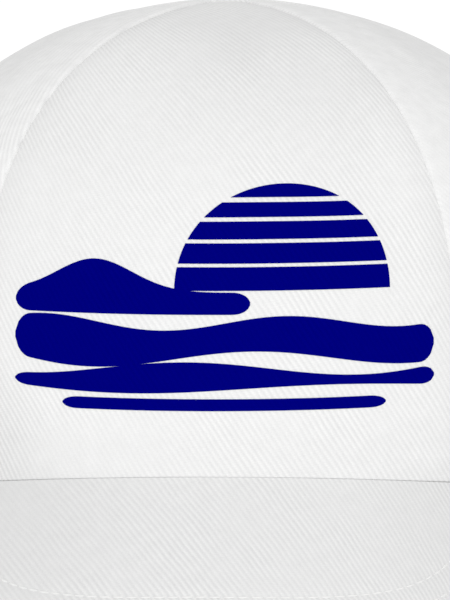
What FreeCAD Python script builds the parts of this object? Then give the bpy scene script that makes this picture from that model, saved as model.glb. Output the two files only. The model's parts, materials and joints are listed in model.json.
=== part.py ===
import FreeCAD, Part
import math
import os
import Sketcher
from FreeCAD import Placement, Rotation, Vector

# Five-panel cotton cap with a bent visor, standing on its visor's corners and its rear edge.
# Everything is drawn first in the frame of the head opening: the opening's plane is XY, its
# centre is the origin, the visor points to -Y and the crown rises along +Z. The last step
# leans the whole cap back until the visor and the rear edge touch one floor, and puts the
# origin at the bottom centre of its box. Left is the wearer's left, +X.

# Driving dimensions, in millimetres and degrees. The two powers have no unit.
SIZES = {
    "crown_half_width": 91.0,
    "crown_half_length": 98.0,
    "crown_height": 117.4,
    "shoulder_power": 1.98,
    "flat_top_power": 3.54,
    "panel_wall": 1.4,
    "rim_arch": 11.4,
    "crown_hole_radius": 2.5,
    "front_seam_angle": 36.3,
    "side_seam_angle": 108.0,
    "lining_gap": 0.2,
    "sweatband_height": 32.0,
    "sweatband_thickness": 1.2,
    "sweatband_end_angle": 147.0,
    "sweatband_lift": 0.5,
    "tape_width": 14.0,
    "tape_thickness": 0.6,
    "tape_top_radius": 15.0,
    "tape_end_gap": 1.5,
    "visor_length": 68.0,
    "visor_slope_angle": 44.0,
    "visor_end_angle": 58.0,
    "visor_tip_length": 8.0,
    "visor_outline_power": 2.3,
    "visor_board_thickness": 2.0,
    "visor_cloth_thickness": 0.6,
    "visor_fold_width": 1.4,
    "visor_seat_gap": 0.35,
    "visor_fold_gap": 0.1,
    "button_radius": 7.5,
    "button_height": 4.6,
    "button_edge_height": 0.9,
    "button_shoulder_radius": 6.6,
    "button_shoulder_height": 2.6,
    "button_brow_radius": 4.0,
    "button_brow_height": 4.0,
    "button_foot_radius": 7.0,
    "rivet_radius": 1.4,
    "washer_radius": 6.0,
    "washer_thickness": 0.8,
    "washer_gap": 0.35,
    "eyelet_bore_radius": 2.2,
    "eyelet_tube_wall": 0.8,
    "eyelet_flange_radius": 4.8,
    "eyelet_flange_thickness": 0.5,
    "eyelet_gap": 0.25,
    "eyelet_inner_gap": 0.9,
    "eyelet_hole_play": 0.25,
    "eyelet_height": 92.0,
    "arch_radius": 35.0,
    "arch_spring_height": 10.0,
    "arch_binding_width": 9.0,
    "arch_binding_thickness": 0.8,
    "strap_width": 20.0,
    "strap_thickness": 1.2,
    "strap_lift": 5.0,
    "strap_end_angle": 151.0,
    "strap_play": 0.3,
    "tab_width": 18.0,
    "tab_ply": 0.6,
    "tab_play": 0.15,
    "clasp_angle": 8.0,
    "clasp_depth": 5.4,
    "clasp_plate_length": 19.0,
    "clasp_wall_length": 26.0,
    "clasp_start": 11.0,
    "clasp_metal": 0.8,
    "clasp_side_gap": 0.4,
    "clasp_wall_rise": 4.8,
    "clasp_bar_radius": 0.8,
    "clasp_bar_offset": 13.6,
    "clasp_pin_radius": 0.8,
    "clasp_pin_offset": 7.0,
    "clasp_pin_play": 0.05,
    "clasp_pin_head_radius": 1.3,
    "clasp_pin_head": 0.6,
    "lever_knuckle_radius": 1.7,
    "lever_plate_thickness": 0.9,
    "lever_plate_length": 16.5,
    "lever_lip_height": 1.6,
    "lever_side_gap": 0.2,
    "cutter_overrun": 5.0,
}

# How finely the curved surfaces are sampled. Counts have no unit.
MERIDIAN_POINTS = 12
FRONT_COLUMNS = 11
PANEL_COLUMNS = 9
BAND_COLUMNS = 31
BAND_ROWS = 4
TAPE_COLUMNS = 3
VISOR_COLUMNS = 25
VISOR_ROWS = 3
STRAP_POINTS = 6
STRAP_END_POINTS = 5
LEAN_STEP = 0.001
DENSE = 400
SHOULDER_SHARE = 0.8
HALF = 0.5
QUARTER_TURN = 90.0
HALF_TURN = 180.0

doc = FreeCAD.newDocument("cap")


def make_sheet():
    """Writes the driving dimensions into a spreadsheet, one alias for each row."""
    sheet = doc.addObject("Spreadsheet::Sheet", "sizes")
    for row, (alias, value) in enumerate(SIZES.items(), start=1):
        sheet.set("A%d" % row, alias)
        sheet.set("B%d" % row, str(value))
        sheet.setAlias("B%d" % row, alias)
    doc.recompute()
    return sheet


sheet = make_sheet()


def size(alias):
    """The value that the sheet holds for one alias."""
    return float(sheet.get(alias))


def value_of(text):
    """The value of a plain sum of terms such as "a + 2*b - c"."""
    total, sign = 0.0, 1
    for word in text.split():
        if word in ("+", "-"):
            sign = 1 if word == "+" else -1
            continue
        product = sign
        for factor in word.split("*"):
            product *= size(factor) if factor in SIZES else float(factor)
        total += product
    return total


def expression_of(text):
    """The same sum, written so that an object can be bound to the sheet by it."""
    words = []
    for word in text.split():
        factors = ["sizes." + f if f in SIZES else f for f in word.split("*")]
        words.append(" * ".join(factors))
    return " ".join(words)


def bind(obj, **sums):
    """Binds properties of an object to the sheet. Dots in a property name are written __."""
    for name, text in sums.items():
        obj.setExpression(name.replace("__", "."), expression_of(text))


# Crown surface: an oval at every height, with a profile that stands straight up from the rim
# and turns over into a nearly flat top.


def oval_radius(angle, inset=0.0):
    """Distance from the axis to the crown's oval at a plan angle measured from the front."""
    turn = math.radians(angle)
    half_width = size("crown_half_width") - inset
    half_length = size("crown_half_length") - inset
    return 1 / math.hypot(math.sin(turn) / half_width, math.cos(turn) / half_length)


def narrowing(height, inset=0.0):
    """How much smaller the oval is at a height than at the rim."""
    top = size("crown_height") - inset
    return (1 - (height / top) ** size("flat_top_power")) ** (1 / size("shoulder_power"))


def height_at(share, inset=0.0):
    """The height at which the oval has shrunk to a share of the rim's."""
    top = size("crown_height") - inset
    return top * (1 - share ** size("shoulder_power")) ** (1 / size("flat_top_power"))


def rim_height(angle):
    """Height of the crown's lower edge: it arches up over the visor."""
    if abs(angle) >= QUARTER_TURN:
        return 0.0
    return size("rim_arch") * math.cos(math.radians(angle)) ** 2


def crown_point(angle, radius, height):
    turn = math.radians(angle)
    return Vector(radius * math.sin(turn), -radius * math.cos(turn), height)


def profile(angle, inset, low, high=None, stop_radius=None):
    """Dense (radius, height) pairs up one meridian, from a height to a height or a radius."""
    rim = oval_radius(angle, inset)
    shoulder = SHOULDER_SHARE * (size("crown_height") - inset)
    end = high if high is not None else shoulder
    pairs = []
    for step in range(DENSE + 1):
        height = low + (min(end, shoulder) - low) * step / DENSE
        pairs.append((rim * narrowing(height, inset), height))
    if high is not None and high <= shoulder:
        return pairs
    start = narrowing(shoulder, inset)
    stop = narrowing(high, inset) if high is not None else stop_radius / rim
    for step in range(1, DENSE + 1):
        share = start + (stop - start) * step / DENSE
        pairs.append((rim * share, height_at(share, inset)))
    return pairs


def evenly(pairs, count):
    """Resamples dense pairs at equal lengths along their curve."""
    lengths = [0.0]
    for before, after in zip(pairs, pairs[1:]):
        lengths.append(lengths[-1] + math.dist(before, after))
    found = []
    place = 0
    for step in range(count):
        wanted = lengths[-1] * step / (count - 1)
        while place < len(lengths) - 2 and lengths[place + 1] < wanted:
            place += 1
        span = lengths[place + 1] - lengths[place]
        share = (wanted - lengths[place]) / span
        found.append(
            tuple(p + (q - p) * share for p, q in zip(pairs[place], pairs[place + 1]))
        )
    return found


def crown_grid(angles, inset, low, high=None, stop_radius=None, rows=MERIDIAN_POINTS):
    """Points of one crown surface: a row of points up the meridian at each plan angle."""
    grid = []
    for angle in angles:
        top = None if high is None else high(angle)
        pairs = profile(angle, inset, low(angle), top, stop_radius)
        grid.append([crown_point(angle, r, z) for r, z in evenly(pairs, rows)])
    return grid


def spread(start, end, count):
    return [start + (end - start) * step / (count - 1) for step in range(count)]


def surface_through(grid):
    surface = Part.BSplineSurface()
    surface.interpolate(grid)
    return surface


def solid_between(outer, inner):
    """A closed solid between two surfaces through point grids of the same size."""
    first = surface_through(outer)
    second = surface_through(inner)
    u0, u1, v0, v1 = first.bounds()
    p0, p1, q0, q1 = second.bounds()
    faces = [first.toShape(), second.toShape()]
    for a, b in ((first.uIso(u0), second.uIso(p0)), (first.uIso(u1), second.uIso(p1)),
                 (first.vIso(v0), second.vIso(q0)), (first.vIso(v1), second.vIso(q1))):
        faces.append(Part.makeRuledSurface(a.toShape(), b.toShape()))
    return closed(faces)


def closed(faces):
    """Sews faces into one solid that is the right way out."""
    shell = Part.makeShell(faces)
    shell.sewShape()
    solid = Part.makeSolid(shell)
    if solid.Volume < 0:
        solid.reverse()
    return solid


def feature(label, shape):
    """A part of the document whose shape is set here."""
    made = doc.addObject("Part::Feature", label)
    made.Label = label
    made.Shape = shape
    return made


# Crown panels


def crown_panel(label, start, end, columns):
    """One cloth panel between two seam planes, open at the button's hole."""
    angles = spread(start, end, columns)
    stop = size("crown_hole_radius")
    wall = size("panel_wall")
    outer = crown_grid(angles, 0.0, rim_height, stop_radius=stop)
    inner = crown_grid(angles, wall, rim_height, stop_radius=stop)
    return feature(label, solid_between(outer, inner))


def eyelet_frames():
    """Name, point on the outer wall and outward direction of each eyelet."""
    side = size("front_seam_angle") + size("side_seam_angle")
    rear = size("side_seam_angle") + HALF_TURN
    frames = []
    for name, middle in (("side", side * HALF), ("rear", rear * HALF)):
        for hand, sign in (("left", 1), ("right", -1)):
            angle = sign * middle
            height = size("eyelet_height")
            point = crown_point(angle, oval_radius(angle) * narrowing(height), height)
            frames.append(("%s_%s" % (name, hand), point, wall_normal(point)))
    return frames


def wall_normal(point):
    """Outward direction of the crown's outer surface at a point on it."""
    half_width = size("crown_half_width")
    half_length = size("crown_half_length")
    top = size("crown_height")
    oval = (point.x / half_width) ** 2 + (point.y / half_length) ** 2
    side = size("shoulder_power") * oval ** (size("shoulder_power") * HALF - 1)
    rise = size("flat_top_power") * (point.z / top) ** (size("flat_top_power") - 1) / top
    normal = Vector(side * point.x / half_width**2, side * point.y / half_length**2, rise)
    return normal.normalize()


def turned_to(direction):
    """Rotation that carries +Z to a direction."""
    return Rotation(Vector(0, 0, 1), direction)


def arch_cutter(label, radius):
    """The rear opening's outline, pushed through the rear wall."""
    box = doc.addObject("Part::Box", label + "_foot")
    bind(
        box,
        Length=radius.replace("arch", "2*arch"),
        Width="crown_half_length + cutter_overrun",
        Height="arch_spring_height + cutter_overrun",
        Placement__Base__x="-1*" + radius.replace("+ ", "- "),
        Placement__Base__z="-1*cutter_overrun",
    )
    round_top = doc.addObject("Part::Cylinder", label + "_top")
    round_top.Placement = Placement(Vector(), Rotation(Vector(1, 0, 0), -QUARTER_TURN))
    bind(
        round_top,
        Radius=radius,
        Height="crown_half_length + cutter_overrun",
        Placement__Base__z="arch_spring_height",
    )
    return boolean("Part::Fuse", label, box, round_top)


def eyelet_drill(name, point, normal):
    drill = doc.addObject("Part::Cylinder", "drill_" + name)
    drill.Placement = Placement(point - normal * size("cutter_overrun"), turned_to(normal))
    bind(
        drill,
        Height="2*cutter_overrun",
        Radius="eyelet_bore_radius + eyelet_tube_wall + eyelet_hole_play",
    )
    return drill


def boolean(kind, label, base, tool):
    made = doc.addObject(kind, label)
    made.Label = label
    made.Base = base
    made.Tool = tool
    return made


def crown():
    """The five panels, with holes for the eyelets and the rear opening cut through."""
    front = size("front_seam_angle")
    side = size("side_seam_angle")
    drills = {name: eyelet_drill(name, p, n) for name, p, n in eyelet_frames()}
    arch = arch_cutter("arch_cutter", "arch_radius")
    made = [crown_panel("front_panel", -front, front, FRONT_COLUMNS)]
    for hand, sign in (("left", 1), ("right", -1)):
        blank = crown_panel("side_blank_" + hand, sign * front, sign * side, PANEL_COLUMNS)
        made.append(boolean("Part::Cut", "side_panel_" + hand, blank, drills["side_" + hand]))
        blank = crown_panel("rear_blank_" + hand, sign * side, sign * HALF_TURN, PANEL_COLUMNS)
        opened = boolean("Part::Cut", "rear_opened_" + hand, blank, arch)
        made.append(boolean("Part::Cut", "rear_panel_" + hand, opened, drills["rear_" + hand]))
    return made


# Linings inside the crown


def sweatband():
    """The band against the forehead, open behind where the strap closes the cap."""
    angles = spread(-size("sweatband_end_angle"), size("sweatband_end_angle"), BAND_COLUMNS)
    inset = size("panel_wall") + size("lining_gap")

    def low(angle):
        return rim_height(angle) + size("sweatband_lift")

    def high(angle):
        return rim_height(angle) + size("sweatband_height")

    outer = crown_grid(angles, inset, low, high, rows=BAND_ROWS)
    inner = crown_grid(angles, inset + size("sweatband_thickness"), low, high, rows=BAND_ROWS)
    return feature("sweatband", solid_between(outer, inner))


def tape_grid(seam, inset, low):
    """Points of one face of a seam tape, which keeps its width as the crown narrows."""
    pairs = evenly(profile(seam, inset, low, stop_radius=size("tape_top_radius")), MERIDIAN_POINTS)
    half = size("tape_width") * HALF
    grid = []
    for offset in spread(-half, half, TAPE_COLUMNS):
        column = []
        for radius, height in pairs:
            angle = seam + math.degrees(offset / radius)
            share = radius / oval_radius(seam, inset)
            column.append(crown_point(angle, share * oval_radius(angle, inset), height))
        grid.append(column)
    return grid


def seam_tape(label, seam, low):
    inset = size("panel_wall") + size("lining_gap")
    outer = tape_grid(seam, inset, low)
    inner = tape_grid(seam, inset + size("tape_thickness"), low)
    return feature(label, solid_between(outer, inner))


def seam_tapes():
    """A tape over each seam's inside, from the sweatband up to the washer."""
    made = []
    above_band = size("sweatband_height") + size("tape_end_gap")
    for name, alias in (("front", "front_seam_angle"), ("side", "side_seam_angle")):
        for hand, sign in (("left", 1), ("right", -1)):
            seam = sign * size(alias)
            low = rim_height(seam) + above_band
            made.append(seam_tape("seam_tape_%s_%s" % (name, hand), seam, low))
    above_arch = (size("arch_spring_height") + size("arch_radius")
                  + size("arch_binding_width") + size("tape_end_gap"))
    made.append(seam_tape("seam_tape_rear", HALF_TURN, above_arch))
    return made


def arch_binding():
    """The tape that lines the edge of the rear opening, above the strap."""
    inset = size("panel_wall") + size("lining_gap")
    low = size("strap_lift") + size("strap_width") + size("tape_end_gap")
    high = (size("arch_spring_height") + size("arch_radius")
            + size("arch_binding_width") + size("cutter_overrun"))
    half = HALF_TURN - size("sweatband_end_angle")
    angles = spread(HALF_TURN - half, HALF_TURN + half, BAND_COLUMNS)
    outer = crown_grid(angles, inset, lambda a: low, lambda a: high, rows=MERIDIAN_POINTS)
    deeper = inset + size("arch_binding_thickness")
    inner = crown_grid(angles, deeper, lambda a: low, lambda a: high, rows=MERIDIAN_POINTS)
    blank = feature("arch_binding_blank", solid_between(outer, inner))
    wide = arch_cutter("arch_wide", "arch_radius + arch_binding_width")
    trimmed = boolean("Part::Common", "arch_binding_trimmed", blank, wide)
    return boolean("Part::Cut", "arch_binding", trimmed, doc.getObject("arch_cutter"))


# Visor: a bent board between two cloths. Its straight lines all run along one slope, so a
# point of it is known by its place on the flat cut: across the bend and along the slope.


def slope_direction():
    slope = math.radians(size("visor_slope_angle"))
    return Vector(0, -math.cos(slope), -math.sin(slope))


def visor_root():
    """Dense rows along the visor's seam: place across, place along, point and upward normal."""
    along = slope_direction()
    end = size("visor_end_angle")
    points = []
    for angle in spread(-end, end, 2 * DENSE + 1):
        radius = oval_radius(angle) + size("lining_gap")
        points.append(crown_point(angle, radius, rim_height(angle) - size("visor_seat_gap")))
    across = [0.0]
    for before, after in zip(points, points[1:]):
        step = after - before
        across.append(across[-1] + (step - along * step.dot(along)).Length)
    middle = across[-1] * HALF
    rows = []
    for place, point in enumerate(points):
        before = points[max(place - 1, 0)]
        after = points[min(place + 1, len(points) - 1)]
        normal = along.cross(after - before).normalize()
        if normal.z < 0:
            normal = normal * -1
        rows.append((across[place] - middle, point.dot(along), point, normal))
    return rows


ROOT = visor_root()


def root_at(across):
    """Place along, point and normal of the visor's seam at a place across the bend."""
    low, high = 0, len(ROOT) - 1
    while high - low > 1:
        middle = (low + high) // 2
        if ROOT[middle][0] <= across:
            low = middle
        else:
            high = middle
    before, after = ROOT[low], ROOT[high]
    share = min(max((across - before[0]) / (after[0] - before[0]), 0.0), 1.0)
    along = before[1] + (after[1] - before[1]) * share
    point = before[2] + (after[2] - before[2]) * share
    normal = (before[3] + (after[3] - before[3]) * share).normalize()
    return along, point, normal


def visor_point(across, along, depth):
    """A point of the bent visor from its place on the flat cut and its depth in it."""
    root_along, point, normal = root_at(across)
    return point + slope_direction() * (along - root_along) - normal * depth


def visor_outline():
    """The flat cut's free edge from tip to tip, as (across, along, inward across, inward along)."""
    half_width = ROOT[-1][0]
    corner = ROOT[-1][1] + size("visor_tip_length")
    front = root_at(0.0)[0] + size("visor_length")
    power = size("visor_outline_power")
    rows = [(-half_width, ROOT[0][1], 1.0, 0.0)]
    for turn in spread(-QUARTER_TURN, QUARTER_TURN, VISOR_COLUMNS):
        share = math.sin(math.radians(turn))
        rise = max(1 - abs(share) ** power, 0.0) ** (1 / power)
        x, y = half_width * share, corner + (front - corner) * rise
        in_x = -math.copysign(abs(share) ** (power - 1), share) / half_width
        in_y = -(rise ** (power - 1)) / (front - corner)
        length = math.hypot(in_x, in_y)
        rows.append((x, y, in_x / length, in_y / length))
    rows.append((half_width, ROOT[-1][1], -1.0, 0.0))
    return rows


def visor_layer(label, depth, thickness):
    """One sheet of the visor, from the crown's edge to just inside the free edge."""
    inset = size("visor_fold_width") + size("visor_fold_gap")
    grids = ([], [])
    for x, y, in_x, in_y in visor_outline()[1:-1]:
        across, edge = x + in_x * inset, y + in_y * inset
        start = root_at(across)[0]
        for grid, layer in zip(grids, (depth, depth + thickness)):
            grid.append([visor_point(across, start + (edge - start) * row / (VISOR_ROWS - 1), layer)
                         for row in range(VISOR_ROWS)])
    return feature(label, solid_between(*grids))


def visor_fold():
    """The rounded bead where the two cloths turn in round the board's edge."""
    inset = size("visor_fold_width")
    thickness = visor_thickness()
    wires = []
    for x, y, in_x, in_y in visor_outline():
        top = visor_point(x + in_x * inset, y + in_y * inset, 0.0)
        middle = visor_point(x, y, thickness * HALF)
        bottom = visor_point(x + in_x * inset, y + in_y * inset, thickness)
        wires.append(Part.Wire([Part.Arc(top, middle, bottom).toShape(),
                                Part.LineSegment(bottom, top).toShape()]))
    return feature("visor_edge_fold", Part.makeLoft(wires, True, False))


def visor_thickness():
    return size("visor_board_thickness") + 2 * size("visor_cloth_thickness")


def visor():
    cloth = size("visor_cloth_thickness")
    board = size("visor_board_thickness")
    return [
        visor_layer("visor_top_cloth", 0.0, cloth),
        visor_layer("visor_board", cloth, board),
        visor_layer("visor_under_cloth", cloth + board, cloth),
        visor_fold(),
    ]


# Small parts turned from a profile


def role_plane(body, role):
    for plane in body.Origin.OriginFeatures:
        if plane.Role == role:
            return plane
    raise ValueError(role)


def turned_body(label, corners):
    """A body turned about its own Z from a closed profile of (radius, height) sums."""
    body = doc.addObject("PartDesign::Body", label)
    body.Label = label
    sketch = body.newObject("Sketcher::SketchObject", label + "_profile")
    sketch.AttachmentSupport = (role_plane(body, "XZ_Plane"), [""])
    sketch.MapMode = "FlatFace"
    spots = [Vector(value_of(r), value_of(z), 0) for r, z in corners]
    for start, end in zip(spots, spots[1:] + spots[:1]):
        sketch.addGeometry(Part.LineSegment(start, end), False)
    count = len(spots)
    for index in range(count):
        following = (index + 1) % count
        sketch.addConstraint(Sketcher.Constraint("Coincident", index, 2, following, 1))
    for index, (radius, height) in enumerate(corners):
        pin_down(sketch, index, "DistanceX", radius, -2)
        pin_down(sketch, index, "DistanceY", height, -1)
    turn = body.newObject("PartDesign::Revolution", label + "_turn")
    turn.Profile = sketch
    turn.ReferenceAxis = (sketch, ["V_Axis"])
    doc.recompute()
    return body


def pin_down(sketch, index, kind, text, axis):
    """Fixes one coordinate of a corner by a sum of the sheet, or on the axis where it is 0."""
    if text == "0":
        sketch.addConstraint(Sketcher.Constraint("PointOnObject", index, 1, axis))
        return
    rule = sketch.addConstraint(Sketcher.Constraint(kind, -1, 1, index, 1, value_of(text)))
    sketch.setExpression("Constraints[%d]" % rule, expression_of(text))


def button_and_rivet():
    """The covered button on top, and the stud and washer that hold it from inside."""
    foot = "crown_height + washer_gap"
    under = "crown_height - panel_wall - washer_gap"
    button = turned_body("crown_button", [
        ("0", foot),
        ("button_foot_radius", foot),
        ("button_radius", foot + " + button_edge_height"),
        ("button_shoulder_radius", foot + " + button_shoulder_height"),
        ("button_brow_radius", foot + " + button_brow_height"),
        ("0", foot + " + button_height"),
    ])
    rivet = turned_body("button_rivet", [
        ("0", under + " - washer_thickness"),
        ("washer_radius", under + " - washer_thickness"),
        ("washer_radius", under),
        ("rivet_radius", under),
        ("rivet_radius", foot),
        ("0", foot),
    ])
    return [button, rivet]


def eyelets():
    """Four rings in the crown's side and rear panels, each turned and set into its hole."""
    made = []
    inner = "-1*panel_wall - eyelet_inner_gap"
    for name, point, normal in eyelet_frames():
        ring = turned_body("eyelet_" + name, [
            ("eyelet_bore_radius", inner + " - eyelet_flange_thickness"),
            ("eyelet_flange_radius", inner + " - eyelet_flange_thickness"),
            ("eyelet_flange_radius", inner),
            ("eyelet_bore_radius + eyelet_tube_wall", inner),
            ("eyelet_bore_radius + eyelet_tube_wall", "eyelet_gap"),
            ("eyelet_flange_radius", "eyelet_gap"),
            ("eyelet_flange_radius", "eyelet_gap + eyelet_flange_thickness"),
            ("eyelet_bore_radius", "eyelet_gap + eyelet_flange_thickness"),
        ])
        ring.Placement = Placement(point, turned_to(normal))
        made.append(ring)
    return made


# Rear closure. The clasp's own frame: +X along the strap to the wearer's left, +Y outward,
# +Z up, with its origin on the strap's inner face at mid height.


def clasp_placement():
    angle = HALF_TURN - size("clasp_angle")
    point = crown_point(angle, oval_radius(angle), 0)
    outward = Vector(
        point.x / size("crown_half_width") ** 2, point.y / size("crown_half_length") ** 2, 0
    ).normalize()
    origin = point - outward * size("clasp_depth")
    origin.z = size("strap_lift") + size("strap_width") * HALF
    lean = math.degrees(math.atan2(outward.x, outward.y))
    return Placement(origin, Rotation(Vector(0, 0, 1), -lean))


CLASP = clasp_placement()


def band_solid(path, thickness, low, width):
    """A flat band of even thickness that stands on a plan path."""
    faces = [[], []]
    for index, point in enumerate(path):
        before = path[max(index - 1, 0)]
        after = path[min(index + 1, len(path) - 1)]
        across = (after - before).cross(Vector(0, 0, 1)).normalize() * (thickness * HALF)
        base = Vector(point.x, point.y, low)
        faces[0].append(base + across)
        faces[1].append(base - across)
    curves = []
    for points in faces:
        curve = Part.BSplineCurve()
        curve.interpolate(points)
        curves.append(curve.toShape())
    ends = [Part.makeLine(faces[0][k], faces[1][k]) for k in (0, -1)]
    outline = Part.Wire(Part.__sortEdges__(curves + ends))
    return Part.Face(outline).extrude(Vector(0, 0, width))


def plan_point(angle, inset):
    return crown_point(angle, oval_radius(angle, inset), 0)


def in_clasp(along, outward):
    """Plan point from a place in the clasp's frame."""
    point = CLASP.multVec(Vector(along, outward, 0))
    return Vector(point.x, point.y, 0)


def arch_edge_angle():
    """Plan angle from the back's centre to the rear opening's edge."""
    return math.degrees(math.asin(size("arch_radius") / size("crown_half_length")))


def closure_strap():
    """The strap: sewn in at the right, straight through the clasp, its tail inside the left."""
    thickness = size("strap_thickness")
    outer_layer = size("panel_wall") + size("lining_gap") + thickness * HALF
    tail_layer = outer_layer + 2 * (size("tab_ply") + size("lining_gap"))
    end = size("strap_end_angle")
    edge = arch_edge_angle()
    step = edge / STRAP_POINTS
    path = []
    for angle in spread(-end, edge - HALF_TURN, STRAP_END_POINTS):
        path.append(plan_point(angle, outer_layer))
    middle = in_clasp(-size("clasp_start") - size("strap_play"), thickness * HALF)
    start_deep = -edge + 2 * step
    reach = math.degrees(math.atan2(middle.x, middle.y))
    clasp_inset = oval_radius(HALF_TURN - reach) - middle.Length
    for angle in spread(start_deep, reach - 2 * step, STRAP_POINTS):
        share = (angle + edge) / (reach + edge)
        eased = share * share * (3 - 2 * share)
        inset = outer_layer + (clasp_inset - outer_layer) * eased
        path.append(plan_point(HALF_TURN - angle, inset))
    for along in spread(-size("clasp_start"), size("clasp_bar_offset"), STRAP_END_POINTS):
        path.append(in_clasp(along, thickness * HALF))
    for angle in spread(edge + HALF * step, HALF_TURN - end, STRAP_END_POINTS):
        path.append(plan_point(HALF_TURN - angle, tail_layer))
    return feature(
        "closure_strap", band_solid(path, thickness, size("strap_lift"), size("strap_width"))
    )


def closure_tab():
    """The short doubled tab that loops round the clasp's bar and is sewn in at the left."""
    width = size("tab_width")
    low = size("strap_lift") + (size("strap_width") - width) * HALF
    inner = size("clasp_bar_radius") + size("tab_play")
    outer = inner + size("tab_ply")
    rise = bar_rise()
    layer = size("panel_wall") + HALF * 3 * size("lining_gap") + size("tab_ply")
    edge = arch_edge_angle()
    path = [
        in_clasp(size("clasp_bar_offset") + inner + size("tab_ply") * HALF, rise),
        in_clasp(size("clasp_bar_offset") + 2 * outer, rise - size("tab_ply") * HALF),
    ]
    for angle in spread(edge - HALF, HALF_TURN - size("strap_end_angle"), STRAP_END_POINTS):
        path.append(plan_point(HALF_TURN - angle, layer))
    tongue = band_solid(path, 2 * size("tab_ply"), low, width)
    centre = in_clasp(size("clasp_bar_offset"), rise)
    centre.z = low
    loop = Part.makeCylinder(outer, width, centre)
    hollow = Part.makeCylinder(inner, width, centre)
    return feature("closure_tab", loop.fuse(tongue).cut(hollow).removeSplitter())


def bar_rise():
    """Height of the clasp's bar above the strap's inner face, to clear the strap."""
    return value_of("strap_thickness + strap_play + clasp_bar_radius + tab_play + tab_ply")


def box_of(label, **sums):
    box = doc.addObject("Part::Box", label)
    bind(box, **sums)
    return box


def upright(label, radius, **sums):
    rod = doc.addObject("Part::Cylinder", label)
    bind(rod, Radius=radius, **sums)
    return rod


def fused(label, pieces):
    made = doc.addObject("Part::MultiFuse", label)
    made.Label = label
    made.Shapes = pieces
    return made


def clasp():
    """Frame, pin and lever of the clasp, in the clasp's own frame."""
    half = "0.5*strap_width + clasp_side_gap"
    down = "-0.5*strap_width - clasp_side_gap"
    pin_rise = "strap_thickness + strap_play + lever_knuckle_radius"
    bar_up = "strap_thickness + strap_play + clasp_bar_radius + tab_play + tab_ply"
    pieces = [
        box_of("clasp_plate", Length="clasp_plate_length", Width="clasp_metal",
               Height="strap_width + 2*clasp_side_gap + 2*clasp_metal",
               Placement__Base__x="-1*clasp_start",
               Placement__Base__y="-1*clasp_metal - lining_gap",
               Placement__Base__z=down + " - clasp_metal"),
        upright("clasp_bar", "clasp_bar_radius",
                Height="strap_width + 2*clasp_side_gap + clasp_metal",
                Placement__Base__x="clasp_bar_offset",
                Placement__Base__y=bar_up,
                Placement__Base__z=down + " - 0.5*clasp_metal"),
    ]
    for name, foot in (("low", down + " - clasp_metal"), ("high", half)):
        pieces.append(
            box_of("clasp_wall_" + name, Length="clasp_wall_length",
                   Width="clasp_wall_rise + clasp_metal + lining_gap",
                   Height="clasp_metal", Placement__Base__x="-1*clasp_start",
                   Placement__Base__y="-1*clasp_metal - lining_gap",
                   Placement__Base__z=foot))
    spot = {"Placement__Base__x": "-1*clasp_pin_offset", "Placement__Base__y": pin_rise}
    long_bore = {"Height": "strap_width + 4*clasp_metal + 2*cutter_overrun",
                 "Placement__Base__z": "-0.5*strap_width - 2*clasp_metal - cutter_overrun"}
    pin_hole = upright("clasp_pin_hole", "clasp_pin_radius + clasp_pin_play",
                       **spot, **long_bore)
    frame = boolean("Part::Cut", "clasp_frame", fused("clasp_frame_blank", pieces), pin_hole)

    body = "strap_width + 2*clasp_side_gap + 2*clasp_metal + 2*clasp_pin_play"
    low_end = down + " - clasp_metal - clasp_pin_play"
    pin = fused("clasp_pin", [
        upright("pin_rod", "clasp_pin_radius", Height=body, Placement__Base__z=low_end, **spot),
        upright("pin_head_low", "clasp_pin_head_radius", Height="clasp_pin_head",
                Placement__Base__z=low_end + " - clasp_pin_head", **spot),
        upright("pin_head_high", "clasp_pin_head_radius", Height="clasp_pin_head",
                Placement__Base__z=half + " + clasp_metal + clasp_pin_play", **spot),
    ])

    tall = "strap_width + 2*clasp_side_gap - 2*lever_side_gap"
    lever_low = down + " + lever_side_gap"
    lever_blank = fused("clasp_lever_blank", [
        upright("lever_knuckle", "lever_knuckle_radius", Height=tall,
                Placement__Base__z=lever_low, **spot),
        box_of("lever_plate", Length="lever_plate_length", Width="lever_plate_thickness", Height=tall,
               Placement__Base__x="-1*clasp_pin_offset",
               Placement__Base__y=pin_rise + " + lever_knuckle_radius - lever_plate_thickness",
               Placement__Base__z=lever_low),
        box_of("lever_lip", Length="lever_plate_thickness",
               Width="lever_lip_height + lever_plate_thickness", Height=tall,
               Placement__Base__x="lever_plate_length - clasp_pin_offset - lever_plate_thickness",
               Placement__Base__y=pin_rise + " + lever_knuckle_radius - lever_plate_thickness",
               Placement__Base__z=lever_low),
    ])
    lever_bore = upright("clasp_lever_bore", "clasp_pin_radius + clasp_pin_play",
                         **spot, **long_bore)
    lever = boolean("Part::Cut", "clasp_lever", lever_blank, lever_bore)
    for part in (frame, pin, lever):
        part.Placement = CLASP
    return [frame, pin, lever]


# Standing: lean the cap back until the visor and the rear edge touch one floor


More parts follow.
